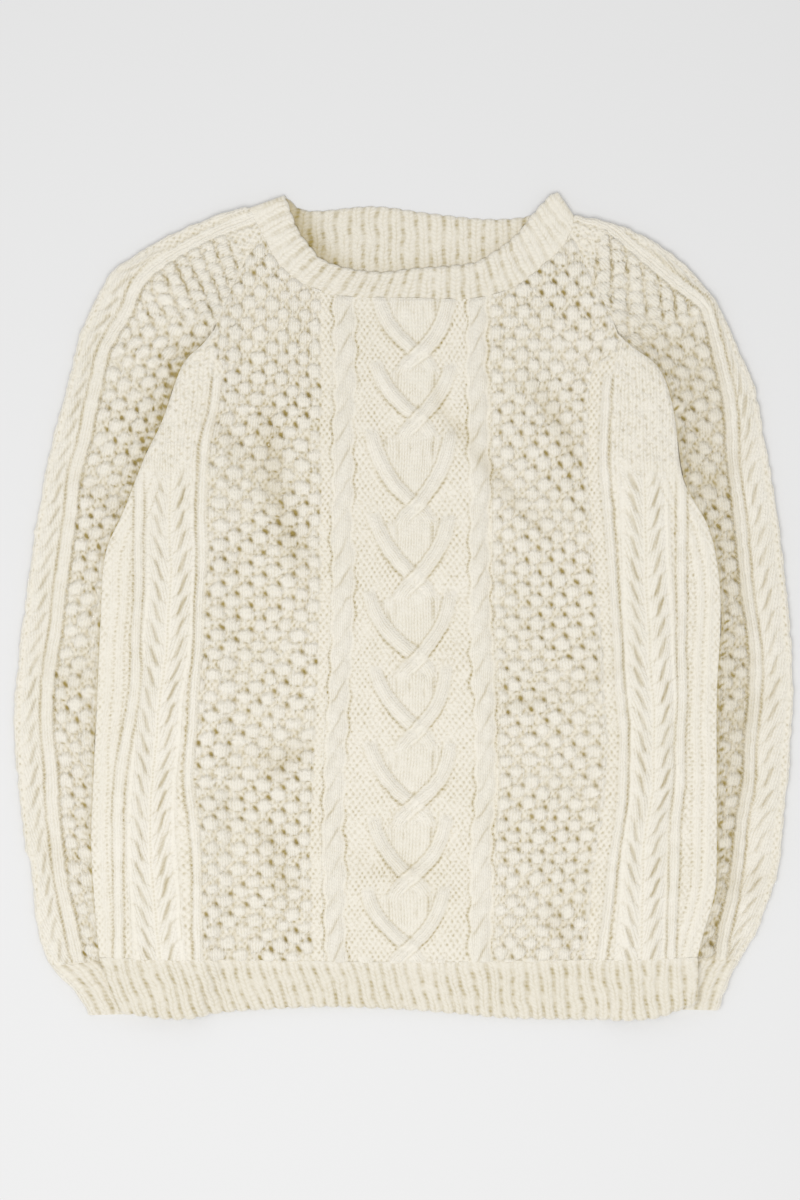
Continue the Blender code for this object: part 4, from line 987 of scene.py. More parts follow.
def aran_wool():
    """Undyed worsted wool, hand-knitted: dull, a little fuzzy, cream in the light.

    Its stitches are drawn on the piece's own count of wales and courses, so they follow the
    cables. Deep between them shade is painted: the colour turns golden tan where painted shade
    lies.
    """
    known = bpy.data.materials.get("undyed aran wool")
    if known:
        return known
    wool = bpy.context.scene.pullover_wool
    material = bpy.data.materials.new("undyed aran wool")
    material.use_nodes = True
    tree = material.node_tree
    shader = tree.nodes["Principled BSDF"]

    stitch = node(tree, "ShaderNodeAttribute", attribute_name="stitch")
    parts = node(tree, "ShaderNodeSeparateXYZ", {0: stitch.outputs["Vector"]})
    made = dict(zip(("wale", "course", "knit"), parts.outputs))
    for name in ("painted_shade", "drawn"):
        made[name] = node(tree, "ShaderNodeAttribute", attribute_name=name).outputs["Fac"]
    place = node(tree, "ShaderNodeTexCoord").outputs["Object"]
    # uneven tones over about 60 mm, patches of about 10 mm that make the painted gap shade uneven,
    # flecks about 3 mm apart for painted fibre shadows, and plies and loose fibres about 1 mm
    # apart: how many fit in a metre, how finely each is broken up, how roughly
    for name, scale, detail, roughness in (
        ("slow", 16.0, 4.0, 0.5), ("patches", 90.0, 2.0, 0.5), ("specks", 420.0, 2.0, 0.5),
        ("fibres", 800.0, 3.0, 0.65),
    ):
        noise = {"Vector": place, "Scale": scale, "Detail": detail, "Roughness": roughness}
        made[name] = node(tree, "ShaderNodeTexNoise", noise).outputs["Fac"]

    turn = 2 * math.pi
    # each row names its result, then says what to do with earlier results and numbers
    for result, operation, *values in (
        # smooth stitches: two legs that lean apart, one V above the next
        ("of_wale", "FRACT", "wale"),
        ("middle", "SUBTRACT", "of_wale", 0.5),
        ("side", "ABSOLUTE", "middle"),
        ("swing", "MULTIPLY", "side", turn),
        ("swing", "SINE", "swing"),
        ("legs", "ABSOLUTE", "swing"),
        ("lean", "MULTIPLY", "side", 1.5),
        ("lean", "SUBTRACT", "course", "lean"),
        ("lean", "MULTIPLY", "lean", turn),
        ("rows", "COSINE", "lean"),
        ("rows", "MULTIPLY_ADD", "rows", 0.35, 0.65),
        ("vees", "MULTIPLY", "legs", "rows"),
        # purl bumps, laid like bricks
        ("across", "MULTIPLY", "wale", turn),
        ("across", "COSINE", "across"),
        ("upward", "MULTIPLY", "course", math.pi),
        ("upward", "COSINE", "upward"),
        ("bumps", "MULTIPLY", "across", "upward"),
        ("bumps", "MULTIPLY_ADD", "bumps", 0.5, 0.5),
        ("stitches", "MIX", "knit", "bumps", "vees"),
        # along a strand's edge, where one count of stitches meets another, none are drawn
        ("stitches", "MIX", "drawn", 0.6, "stitches"),
        # painted shade in the gaps between stitches, more between purl bumps than between smooth
        # stitches
        ("gap", "SUBTRACT", 1.0, "stitches"),
        ("gap", "POWER", "gap", 3.0),
        ("uneven", "MULTIPLY_ADD", "patches", 3.0, -0.9),
        ("uneven", "MULTIPLY", "gap", "uneven"),
        ("gap_shade", "MULTIPLY_ADD", "knit", -0.18, 0.44),
        ("gap_shade", "MULTIPLY", "uneven", "gap_shade"),
        # painted shadows of fibres, as small dark flecks: fewer on smooth stitches
        ("spots", "MULTIPLY_ADD", "specks", 1.2, -0.62),
        ("spots", "MAXIMUM", "spots", 0.0),
        ("flecks", "MULTIPLY_ADD", "knit", -0.65, 1.0),
        ("flecks", "MULTIPLY", "spots", "flecks"),
        # all the painted shade together: in hollows, in gaps and the fibres' shadows
        ("depth", "ADD", "painted_shade", "gap_shade"),
        ("depth", "ADD", "depth", "flecks"),
        ("depth", "MINIMUM", "depth", 1.0),
    ):
        mixes = operation == "MIX"
        inputs = {
            socket: made.get(value, value)
            for socket, value in zip((0, 2, 3) if mixes else (0, 1, 2), values)
        }
        settings = {} if mixes else {"operation": operation}
        kind = "ShaderNodeMix" if mixes else "ShaderNodeMath"
        made[result] = node(tree, kind, inputs, **settings).outputs[0]

    stitch_bump = node(tree, "ShaderNodeBump", {
        "Strength": 0.5, "Distance": 0.0010, "Height": made["stitches"],
    })
    fibre_bump = node(tree, "ShaderNodeBump", {
        "Strength": 0.45, "Distance": 0.0005, "Height": made["fibres"],
        "Normal": stitch_bump.outputs["Normal"],
    })
    # the wool's colour varies at random, then darkens towards the painted shade colour as far as
    # the painted shade says
    tone = tuple(wool.light)
    for factor, other in (("slow", wool.shade), ("depth", wool.painted_shade)):
        colours = {0: made[factor], 6: tone, 7: tuple(other)}
        tone = node(tree, "ShaderNodeMix", colours, data_type="RGBA").outputs[2]
    tree.links.new(fibre_bump.outputs["Normal"], shader.inputs["Normal"])
    tree.links.new(tone, shader.inputs["Base Color"])
    for name, value in (
        ("Roughness", wool.roughness), ("Specular IOR Level", 0.2), ("Sheen Weight", wool.sheen),
        ("Sheen Roughness", 0.5),
    ):
        shader.inputs[name].default_value = value
    return material


def backdrop_paper():
    """Matt paper, nearly white."""
    material = bpy.data.materials.new("matt backdrop paper")
    material.use_nodes = True
    shader = material.node_tree.nodes["Principled BSDF"]
    shader.inputs["Base Color"].default_value = tuple(bpy.context.scene.pullover_stage.floor)
    shader.inputs["Roughness"].default_value = 1.0
    shader.inputs["Specular IOR Level"].default_value = 0.0
    return material


# ---- front and back -----------------------------------------------------------------------------

def columns():
    """Each column of stitches on the front, by its name, as a line up the garment."""
    table = np.array(FRONT_COLUMNS, float)
    return {name: upright(table[:, [0, i]]) for i, name in enumerate(COLUMN_NAMES, 1)}


def count_wales(x, y, column):
    """How many stitches across each place is, following the columns as they bend."""
    stitch = knit_size("stitch")
    lines = [across_at(column[name], y) for name in COLUMN_NAMES]
    middle = np.array([float(across_at(column[name], 0.0)) for name in COLUMN_NAMES])
    numbers = np.round((middle - middle[0]) / stitch)
    wales = numbers[0] + (x - lines[0]) / stitch
    for i in range(len(lines) - 1):
        share = (x - lines[i]) / (lines[i + 1] - lines[i])
        wales = np.where(share >= 0, numbers[i] + share * (numbers[i + 1] - numbers[i]), wales)
    return np.where(x > lines[-1], numbers[-1] + (x - lines[-1]) / stitch, wales)


def front_knitting(places):
    """The stitches of the front at each place."""
    x, y = unsteady(places, 1.3, 1)
    column = columns()
    cloth = Knitting(count_wales(x, y, column), y / knit_size("row"))
    off = {name: x - across_at(line, y) for name, line in column.items()}
    ribbed = fade_out(y, RIBS_TOP, 10)
    leafy = fade_out(y, WHEAT_TOP, 26)
    to_raglan = fade_in(y + 5 * wobble(*places.T, 24, 8), RIBS_TOP, 40)
    rough = wobble(*places.T, 4.6, 6)
    soft = 0.4 * rough + 0.7 * wobble(*places.T, 11, 7)
    for name, sign in SIGNS.items():
        rope, inner_rib = "rope_" + name, "inner_rib_" + name
        rope_off, rib_off = sign * off[rope], sign * off[inner_rib]
        # bobbles between rope and rib, and on to the raglan above the underarm
        bare_in, bare_out = BARE[name]
        outer_end = ease((-rib_off - bare_out + 75 * to_raglan) / (2 + 16 * to_raglan))
        panel = ease((rope_off - bare_in) / 3) * outer_end * (sign * x > 0)
        start = across_at(column[rope], y) + sign * bare_in
        end = across_at(column[inner_rib], y) - sign * bare_out
        across = (x - start) / (end - start) * BOBBLE_CELLS
        slant = 0.06 * x if sign < 0 else 0  # the left panel's rows slope
        up = (y + slant - from_height(FRONT_BOBBLES_FROM)) / BOBBLE_ROW
        # how much shade is painted in the bobbles' holes, more on the left
        deep = np.clip(0.75 - 0.08 * sign + 0.4 * wobble(*places.T, 130, 51), 0.35, 1)
        bobble_cloth(cloth, across, up, panel, places, sign, deep)
        # outside the inner rib: wheat cable, and smooth stitches above it with a few small holes
        # painted with shade
        outside = ease((rib_off - 3.5) / 2)
        smooth = outside * (1 - leafy) * (1 - to_raglan)
        plain_knit(cloth, smooth, 1.2 + soft)
        cloth.sink(smooth * ease((-rough - 0.45) / 0.6), 0.2, 0.3)
        wheat_cable(cloth, off["wheat_" + name], y, outside * leafy)
        # two soft ribs down the side, where single stitches show less and less shade is painted;
        # shade is painted in the grooves beside them
        side = sign * (across_at(upright(SIDE[name]), y) - x)
        quiet = near(side - 12, 14) * leafy
        cloth.painted_shade *= 1 - 0.4 * quiet
        cloth.drawn -= 0.35 * quiet
        for distance in SIDE_RIBS:
            plain_knit(cloth, near(side - distance, 2.8) * leafy, 1.1)
            cloth.sink(near(side - distance - 4.5, 1.0) * leafy * cloth.rungs(0.0), 0.4, 0.45)
        twisted_rib(cloth, off["outer_rib_" + name], height=1.9, ladder=0.8, share=leafy)
        twisted_rib(cloth, off[inner_rib], share=ribbed, holes=sign)
        rope_cable(cloth, off[rope], y)
    diamond_cable(cloth, off["middle"], y)
    settle(cloth, places, FRONT_CREASES)
    return cloth


def side_roll(places):
    """How round the body's edge is near each place: round where it is free, hardly where sewn."""
    return np.where(places[:, 1] < from_height(UNDERARM), SIDE_ROLL, SEAM_ROLL)


def knit_front_strip(part, west, east, free):
    """One of the front's upright strips. free says which of its sides are the body's own edges."""
    hem = stretch(level(HEM_SEAM), west[0][0], east[0][0])
    neck = stretch(level(NECK_FRONT_SEAM), west[-1][0], east[-1][0])
    wide = length_of(hem) * 0.98
    across = with_edges(round(wide / FINE), wide, *free)
    up = np.linspace(0, 1, round((length_of(west) + length_of(east)) / 2 / FRONT_STEP) + 1)
    net = patch(hem, neck, west, east, across, up)
    places = net.reshape(-1, 2)
    cloth = front_knitting(places)
    base = WALL + GAP
    sides = [apart(places, line) for line, own in zip((west, east), free) if own]
    ends = [apart(places, line) for line in (hem, neck)]
    height = base + lift(*places.T) + WALL
    for distance in sides:
        height = height - roll(distance, side_roll(places))
    for distance in ends:
        height = height - roll(distance, SEAM_ROLL)
    side = np.min(sides, axis=0) if sides else math.inf
    relief = (0.2 + 0.8 * ease(side / 4)) * (0.6 + 0.4 * ease(np.minimum(*ends) / 3))
    drape = 0.7 * wobble(*places.T, 150, 5)
    upper = raised(net, height + (cloth.height + drape + 0.7) * relief)
    inset = 2.6 / wide  # the underside stops short of a free edge
    below = np.clip(np.linspace(1, 0, 17), inset * free[0], 1 - inset * free[1])
    low = patch(hem, neck, west, east, below, up)
    lower = raised(low, base + lift(low[..., 0], low[..., 1]))
    sections = np.concatenate([upper, lower], axis=1)
    shown = len(across)
    sharp = [column for column, own in zip((0, shown - 1), free) if not own]
    # painted shade on the front's rounded sides and underside
    finish_piece(
        "front", sections, round_values(cloth, sections, shown, 0.35), cut_of(net, wide),
        name=f"front_{part}_knit", rests_on=("back",), edges=sharp,
    )


def knit_front():
    """The front: left part, middle cable panel and right part, which meet beside the ropes."""
    column = columns()
    hem, neck = level(HEM_SEAM), level(NECK_FRONT_SEAM)
    # from just below the hem's seam to just above the neck's
    y = np.linspace(from_height(50), from_height(624), 120)
    borders = []
    for name, sign in SIGNS.items():
        x = across_at(column["rope_" + name], y) + sign * (ROPE_WIDTH / 2 + 1.2)
        low, high = (x[0], along_at(hem, x[0])), (x[-1], along_at(neck, x[-1]))
        borders.append(np.vstack([low, np.column_stack([x, y])[2:-2], high]))
    left, right = (joined(SIDE[name], RAGLAN[name]) for name in SIGNS)
    knit_front_strip("left", left, borders[0], (True, False))
    knit_front_strip("middle", *borders, (False, False))
    knit_front_strip("right", borders[1], right, (False, True))


def inside_ribs(cloth, places):
    """The ribs inside the back of the neck, which run on from the band, with a painted shadow near
    its front.
    """
    x, y = places.T
    ribs = x / WELT_RIB_PITCH + 0.1 * wobble(x, y, 40, 33)
    welt(cloth, ribs, y / knit_size("row"), INSIDE_RELIEF)
    left = ease((-30 - x) / 50)
    shadow = (0.12 + 0.4 * left) * near(apart(places, level(NECK_FRONT_EDGE)), 9 + 5 * left)
    cloth.painted_shade = np.minimum(cloth.painted_shade + shadow, 1)
    # a few finer ribs left of the middle
    finer = near(x + 30, 14) * near(y - from_height(662), 12)
    cloth.height += 0.5 * finer * np.sin(2 * math.pi * x / 5.5)


def knit_back():
    """The back, whose inside shows in the neck opening."""
    left, right = (joined(SIDE[name], RAGLAN[name]) for name in SIGNS)
    hem = stretch(level(HEM_SEAM), left[0][0], right[0][0])
    neck = stretch(level(NECK_BACK_SEAM), left[-1][0], right[-1][0])
    wide = length_of(hem)
    across = with_edges(170, wide)
    # rows close together where the inside shows, below the neck
    up = np.concatenate([np.linspace(0, 0.86, 90), np.linspace(0.86, 1, 66)[1:]])
    net = patch(hem, neck, left, right, across, up)
    places = net.reshape(-1, 2)
    x, y = places.T
    cloth = Knitting(x / knit_size("stitch"), y / knit_size("row"))
    inside_ribs(cloth, places)
    upper = raised(net, lift(x, y) + BACK_WALL + cloth.height * fade_in(y, COLUMNS_FROM, 10) * 0.8)
    low = patch(hem, neck, left, right, with_edges(44, wide)[::-1][1:-1], up)
    under = low.reshape(-1, 2)
    rounding = np.where(under[:, 1] < from_height(UNDERARM), WALL, SEAM_ROLL) * 0.98
    height = lift(*under.T) + roll(apart(under, left, right), rounding)
    for points, width, depth in BACK_CREASES:
        height += depth * trough(under, points, width)
    sections = np.concatenate([upper, raised(low, height)], axis=1)
    finish_piece("back", sections, round_values(cloth, sections, len(across)), cut_of(net, wide))


# ---- sleeves ------------------------------------------------------------------------------------

def outward_of(fold, seam):
    """At each point of a fold line, the way out of the folded piece."""
    along = np.gradient(fold, axis=0)
    across = np.array([[-dy, dx] for dx, dy in along / np.linalg.norm(along, axis=1)[:, None]])
    return across * np.sign((across * (fold - seam.mean(axis=0))).sum(axis=1))[:, None]


def sleeve_knitting(places, name, fold, rib_line, side_line):
    """The stitches of a sleeve's upper side at each place."""
    sign = SIGNS[name]
    x, y = unsteady(places, 1.2, 11)
    moved = np.column_stack([x, y])
    off_rib, along_rib = beside(moved, beyond_ends(rib_line, 90))
    outer = sign * (x - across_at(rib_line, y)) > 0
    rib_side = np.where(outer, off_rib, -off_rib)
    cloth = Knitting(rib_side / knit_size("stitch"), along_rib / knit_size("row"))
    inward = sign * (across_at(side_line, y) - x)
    outward = np.maximum(-inward, 0)
    covered = fade_out(y, COVERED_TOP, 12)
    # shade is painted on the sleeve beside the body: all the way down on the right, and at the
    # underarm
    height, amount = np.array(SHADE[name]).T
    shade = near(outward, SHADE_WIDTH[name]) * covered * np.interp(y, from_height(height), amount)
    even_shade = SLEEVE_EVEN_SHADE[name]
    # how much shade is painted in the bobbles' holes: more beside the body
    deep = 0.75 - even_shade + 0.4 * wobble(*places.T, 90, 52) + 0.5 * shade
    # bobbles from the rib inwards; beside the neck the stitches are small and plain
    inside = ease((-rib_side - 4.0) / 2)
    near_neck = ease((34 - apart(places, level(NECK_FRONT_SEAM))) / 12)
    knotted = inside * (1 - near_neck)
    start = across_at(rib_line, np.minimum(y, from_height(UNDERARM))) - sign * 7.0
    across = sign * (start - x) / (BOBBLE_SPACING / 2)
    up = (y - from_height(SLEEVE_BOBBLES_FROM)) / BOBBLE_ROW
    bobble_cloth(cloth, across, up, knotted, places, -sign, np.clip(deep, 0.4, 1.1 - even_shade))
    # at the top of the shoulder they stand in columns
    across = (x + COLUMN_LEAN[name] * y) / COLUMN_SPACING + 0.1 * wobble(*places.T, 50, 54)
    bobble_columns(cloth, across, y, fade_in(y, COLUMNS_FROM, 14) * knotted, places)
    rough = wobble(*places.T, 7, 53)
    # beside the neck the stitches are rough, with a few small holes painted with shade
    cloth.height += near_neck * inside * (0.8 + 0.6 * rough)
    cloth.sink(near_neck * inside * ease((-rough - 0.6) / 0.4), 0.4, 0.35)
    # outside the rib a column of leaves runs along the fold
    off_fold = apart(moved, fold)
    half = np.clip((off_fold + np.abs(rib_side)) / 2 - 4.0, 3, 12)
    leafy = fade_out(y, LEAVES_TOP, 20) * outer
    plain_knit(cloth, outer * (1 - leafy) * near_neck, 1.0)
    leaf_column(cloth, -sign * (off_fold - rib_side) / 2, along_rib, half, 1, leafy, 0.38, 2.8)
    fade = fade_out(y, LEAVES_TOP - 10, 30)
    twisted_rib(cloth, rib_side, height=0.8 + 1.8 * fade, ladder=0.4 + 0.5 * fade,
                width=SLEEVE_RIB_WIDTH, double=True)
    settle(cloth, places, SLEEVE_CREASES[name])
    # beside the body the sleeve puffs up; under it the stitches are pressed flat
    cloth.height += 2.4 * near(np.maximum(-inward - 5, 0), 13) * ease(1 - inward / 3) * covered
    room = COVERED_RELIEF + roll(np.maximum(inward, 0), WALL) + 20 * (inward < 0)
    cloth.height += (np.minimum(cloth.height, room) - cloth.height) * (covered > 0.5)
    meeting = near(np.maximum(-inward - 0.5, 0), 3.2) * (inward < 1.2) * covered
    cloth.height += (np.maximum(cloth.height, MEETING) - cloth.height) * meeting
    # holes in a row where the sleeve meets the body, painted with shade
    row = fraction(y / BOBBLE_ROW + 0.2 * wobble(*places.T, 30, 56)) - 0.5
    hole = near(inward + 3.6 + 8 * row, SEAM_HOLE_WIDTH[name]) * near(row, 0.22)
    uneven = np.clip(0.55 + 0.5 * wobble(*places.T, 21, 57), 0, 1)
    cloth.sink(hole * covered * np.minimum(1.4 * shade, 1) * uneven, 1.4, 1.1)
    # painted shade along the body's edge, then more of it beside the body and over the right sleeve
    cloth.painted_shade += 0.3 * near(inward, 1.6) * covered
    cloth.painted_shade *= 1 + SHADE_GAIN[name] * shade
    darker = SHADE_TINT[name] * shade + 0.28 * even_shade * (1 - outer) * fade_out(y, SHADED_TOP, 40)
    cloth.painted_shade = np.minimum(cloth.painted_shade + darker, 1)
    return cloth


def beyond_ends(line, reach):
    """A line carried straight on past both its ends."""
    first = line[0] + unit(line[0] - line[3]) * reach
    last = line[-1] + unit(line[-1] - line[-4]) * reach
    return np.vstack([first, line, last])


def folded_piece(node_name, inner, outer, seams, cloth_of, hidden, points, raglan=None):
    """A tube of cloth pressed flat: folded along its outer line, with its seam at the inner line.

    inner and outer run up the piece and seams are its ends, bottom and top. hidden says for each
    row how much of its width another piece covers. points are the numbers of places across:
    covered, shown and round the fold.
    """
    covered, shown, around_fold = points
    outward = outward_of(outer, inner)
    outward[0], outward[-1] = unit(outer[0] - inner[0]), unit(outer[-1] - inner[-1])
    turned = outer - outward * STACK / 2
    hidden = hidden[:, None]
    shares = np.concatenate([
        hidden * np.linspace(0, 1, covered, endpoint=False)[None],
        hidden + (1 - hidden) * np.linspace(0, 1, shown)[None],
    ], axis=1)
    net = between(inner, turned, shares)
    places = net.reshape(-1, 2)
    cloth = cloth_of(places)
    edge = apart(places, *seams)
    relief = (cloth.height + 0.4) * (0.3 + 0.7 * ease(edge / 3))
    upper = raised(net, STACK + rise(places, raglan) + relief - roll(edge, SEAM_ROLL))
    # round the fold, where the stitches swell its upper half
    angles = np.linspace(0, math.pi, around_fold + 2)[1:-1]
    bumpy = upper[:, -1, 2] - STACK + 0.9 + 0.9 * wobble(*outer.T, 15, 58)
    swell = bumpy[:, None] * np.cos(angles / 2)[None] ** 2
    reach = (STACK / 2 + swell) * np.sin(angles)[None] ** FOLD_SQUARE
    rising = np.sign(np.cos(angles)) * np.abs(np.cos(angles)) ** FOLD_SQUARE
    tall = np.where(angles < math.pi / 2, STACK - FOLD_REST + swell, FOLD_REST)
    arc = raised(turned[:, None] + outward[:, None] * reach[..., None], FOLD_REST + tall * rising)
    flat = between(inner, turned, np.linspace(1, 0, 9))
    ceiling = raised(flat, WALL + GAP + rise(flat.reshape(-1, 2), raglan))
    floor = [raised(flat, 0.0), raised(flat[:, ::-1], WALL)]
    sections = np.concatenate([upper, arc, *floor, ceiling], axis=1)
    values = round_values(cloth, sections, covered + shown)
    tall = length_of(outer) * MM
    finish_piece(node_name, sections, values, (2 * area_of(net) / tall, tall), held="folded")


def knit_sleeve(name):
    """A sleeve, folded along its outer edge, with its inner part under the body."""
    sign = SIGNS[name]
    fold, rib_line = upright(FOLD[name])[::-1], upright(SLEEVE_RIB[name])[::-1]
    side, raglan = upright(SIDE[name]), upright(RAGLAN[name])
    inner_line = joined(SLEEVE_SEAM[name], RAGLAN[name])
    inner_line[len(upright(SLEEVE_SEAM[name])):, 0] -= sign * TUCK
    rows = round((length_of(fold) + length_of(inner_line)) / 2 / SLEEVE_STEP)
    up = np.linspace(0, 1, rows + 1)
    inner, outer = at_shares(inner_line, up), at_shares(fold, up)
    # how much of each row the body covers, evened out over a few rows
    probe = np.linspace(0, 1, 80)
    path = between(inner, outer, probe)
    under = sign * (across_at(side, path[..., 1]) - path[..., 0]) > 4.0
    under &= path[..., 1] < from_height(UNDERARM - 1)
    hidden = np.maximum((under * probe).max(axis=1), 0.03)
    hidden = np.convolve(np.pad(hidden, 8, mode="edge"), np.ones(17) / 17, mode="valid")
    cuff_end, neck_end = np.vstack([inner[0], outer[0]]), np.vstack([inner[-1], outer[-1]])
    top_edge = np.vstack([raglan[raglan[:, 1] > from_height(592)][::-1], neck_end])
    folded_piece(
        "sleeve_" + name, inner, outer, (cuff_end, top_edge),
        lambda places: sleeve_knitting(places, name, fold, rib_line, side),
        hidden, SLEEVE_POINTS, raglan,
    )


def knit_cuff(name):
    """A ribbed cuff, folded like its sleeve, with its inner half under the hem."""
    sign = SIGNS[name]
    lines = [upright(rows)[::-1] for rows in (CUFF_SEAM[name], CUFF_FOLD[name])]
    up = np.linspace(0, 1, round(length_of(lines[1]) / FINE) + 1)
    inner, outer = (at_shares(line, up) for line in lines)
    inner[-1, 1] += TUCK
    outer[:, 0] -= sign * CUFF_BOW[name] * np.sin(math.pi * up)
    outer[-1, 1] += TUCK
    wide = np.linalg.norm(outer - inner, axis=1).mean()
    pitch = wide / round(wide / WELT_RIB_PITCH)
    # the body's edge over the cuff, from the hem's end up to the side
    body_edge = (
        level(HEM_EDGE)[0 if sign < 0 else -1, 0],
        across_at(upright(SIDE[name]), from_height(60)),
    )

    def cloth_of(places):
        off_fold = apart(places, outer)
        row = (places[:, 1] - from_height(0)) / knit_size("row")
        cloth = Knitting(off_fold / knit_size("stitch"), row)
        welt(cloth, off_fold / pitch + 0.25, row)
        border = np.interp(places[:, 1], (from_height(5), from_height(55)), body_edge)
        covered = ease((sign * (border - places[:, 0]) + 3) / 4)
        cloth.height += (np.minimum(cloth.height, COVERED_RELIEF) - cloth.height) * covered
        return cloth

    seams = [np.vstack([inner[i], outer[i]]) for i in (0, -1)]
    hidden = np.full(len(inner), 0.5)
    folded_piece("cuff_" + name, inner, outer, seams, cloth_of, hidden, CUFF_POINTS)


# ---- hems ---------------------------------------------------------------------------------------

def knit_hem(name, base, ribbed):
    """A ribbed hem: its sections run from the seam to the cast-off edge and back underneath.

    ribbed is False for a hem of which only the lowest edge could show.
    """
    wide = length_of(level(HEM_SEAM))
    along = np.linspace(0, 1, round(wide / (FINE if ribbed else 3 * FINE)) + 1)
    seam, edge = at_shares(level(HEM_SEAM), along), at_shares(level(HEM_EDGE), along)
    seam[:, 1] += TUCK
    ribs = along * round(wide / WELT_RIB_PITCH)
    # each rib's end hangs a little lower than the groove beside it
    edge[:, 1] += 1.6 * (1 - crest(ribs))
    down = np.union1d(np.linspace(0, 1, 44 if ribbed else 12), [0.985, 0.995])
    net = between(seam, edge, down)
    net[..., 0] += 0.8 * wobble(net[..., 0], net[..., 1], 60, 21) * np.sin(math.pi * down)[None]
    places = net.reshape(-1, 2)
    row = places[:, 1] / knit_size("row")
    rib_count = np.repeat(ribs, len(down)) + 0.12 * wobble(*places.T, 50, 22)
    cloth = Knitting(rib_count * 2, row)
    welt(cloth, rib_count, row)
    tall = np.linalg.norm(edge - seam, axis=1)[:, None]
    far, top = ((1 - down) * tall).ravel(), (down * tall).ravel()
    # less painted shade near the seam
    cloth.painted_shade = 0.03 + cloth.painted_shade * (0.3 + 0.7 * ease(top / 10))
    height = base + lift(*places.T) + WALL - roll(far, CAST_OFF_ROLL) - roll(top, SEAM_ROLL)
    if ribbed:
        height += (cloth.height + 0.5) * ease(far / 4) * (0.8 + 0.2 * ease(top / 4))
    low = between(seam, edge, np.linspace(0.97, 0, 6))
    lower = raised(low, base + lift(low[..., 0], low[..., 1]))
    sections = np.concatenate([raised(net, height), lower], axis=1)
    finish_piece(name, sections, round_values(cloth, sections, len(down)), cut_of(net, wide))


# ---- neckband -----------------------------------------------------------------------------------

def neck_line(rows, seam=True):
    """An edge of the neckband, stopped where the band starts to turn at each fold."""
    points = np.array([(across, from_height(height)) for across, height in rows], float)
    points[0] -= unit(points[0] - points[1]) * STACK / 2
    points[-1] -= unit(points[-1] - points[-2]) * STACK / 2
    if not seam:
        return smooth_line(points, 1.0)
    start, end = (at_shares(two, np.linspace(0, 1, 21)) for two in (points[:2], points[-2:]))
    return np.vstack([start[:-1], smooth_line(points[1:-1], 1.0), end[1:]])


def band_layer(seam, edge, top, under, relief=None):
    """One layer of the neckband: its side that shows, its plain side, and the first's stitches.

    Without a relief it is the back layer, of which the inside shows.
    """
    down = np.union1d(np.linspace(0, 1, 25), [0.965, 0.99])
    along = np.linspace(0, 1, round(length_of(edge) / FINE) + 1)
    ribs = along * round(length_of(edge) / WELT_RIB_PITCH)
    seam, edge = at_shares(seam, along), at_shares(edge, along)
    out = (edge - seam) / np.linalg.norm(edge - seam, axis=1)[:, None]
    seam = seam - out * TUCK
    edge = edge + out * (crest(ribs) - 1)[:, None]
    tall = np.linalg.norm(edge - seam, axis=1)[:, None]
    far, up = ((1 - down) * tall).ravel(), (down * tall).ravel()
    net = between(seam, edge, down)
    places = net.reshape(-1, 2)
    rib_count = np.repeat(ribs, len(down)) + 0.08 * wobble(*places.T, 40, 31)
    row = up / knit_size("row")
    cloth = Knitting(rib_count * 2, row)
    height = top - roll(far, CAST_OFF_ROLL)
    relief_there = ease(far / 4)
    if relief is None:
        inside_ribs(cloth, places)
        relief_there *= 0.8
    else:
        welt(cloth, rib_count, row, relief)
        # flatter towards both shoulders, with less painted shade
        middle = 0.3 + 0.7 * ease(np.minimum(places[:, 0] + 122, 132 - places[:, 0]) / 70)
        cloth.height = 0.6 + (cloth.height - 0.6) * middle + 0.3 * wobble(*places.T, 8, 34)
        cloth.painted_shade *= middle
        height -= roll(up, SEAM_ROLL)
        relief_there *= 0.4 + 0.6 * ease(up / 4)
    shown = raised(net, np.maximum(height, under + GAP) + cloth.height * relief_there)
    return shown, raised(net, under), cloth.values().reshape(*net.shape[:2], 5)


def round_fold(start, end, outs):
    """Sections that carry the neckband round a fold, from one layer's end to the other's.

    The first half of a section is the outer side, which goes round the whole fold, and the second
    half is the inner side, which turns within the gap.
    """
    half = start.shape[0] // 2
    share = np.linspace(0, 1, half)[:, None]
    outward = outs[0][None] * (1 - share) + outs[1][None] * share
    outward /= np.linalg.norm(outward, axis=1)[:, None]
    outward = np.concatenate([outward, outward[::-1]])
    reach = np.concatenate([np.full(half, STACK / 2), np.full(half, 0.4)])
    steps = []
    for angle in np.linspace(0, math.pi, 9)[1:-1]:
        turned = 0.5 - 0.5 * math.cos(angle)
        place = start * (1 - turned) + end * turned
        place[:, :2] += outward * (reach * math.sin(angle))[:, None]
        steps.append(place)
    return np.array(steps)


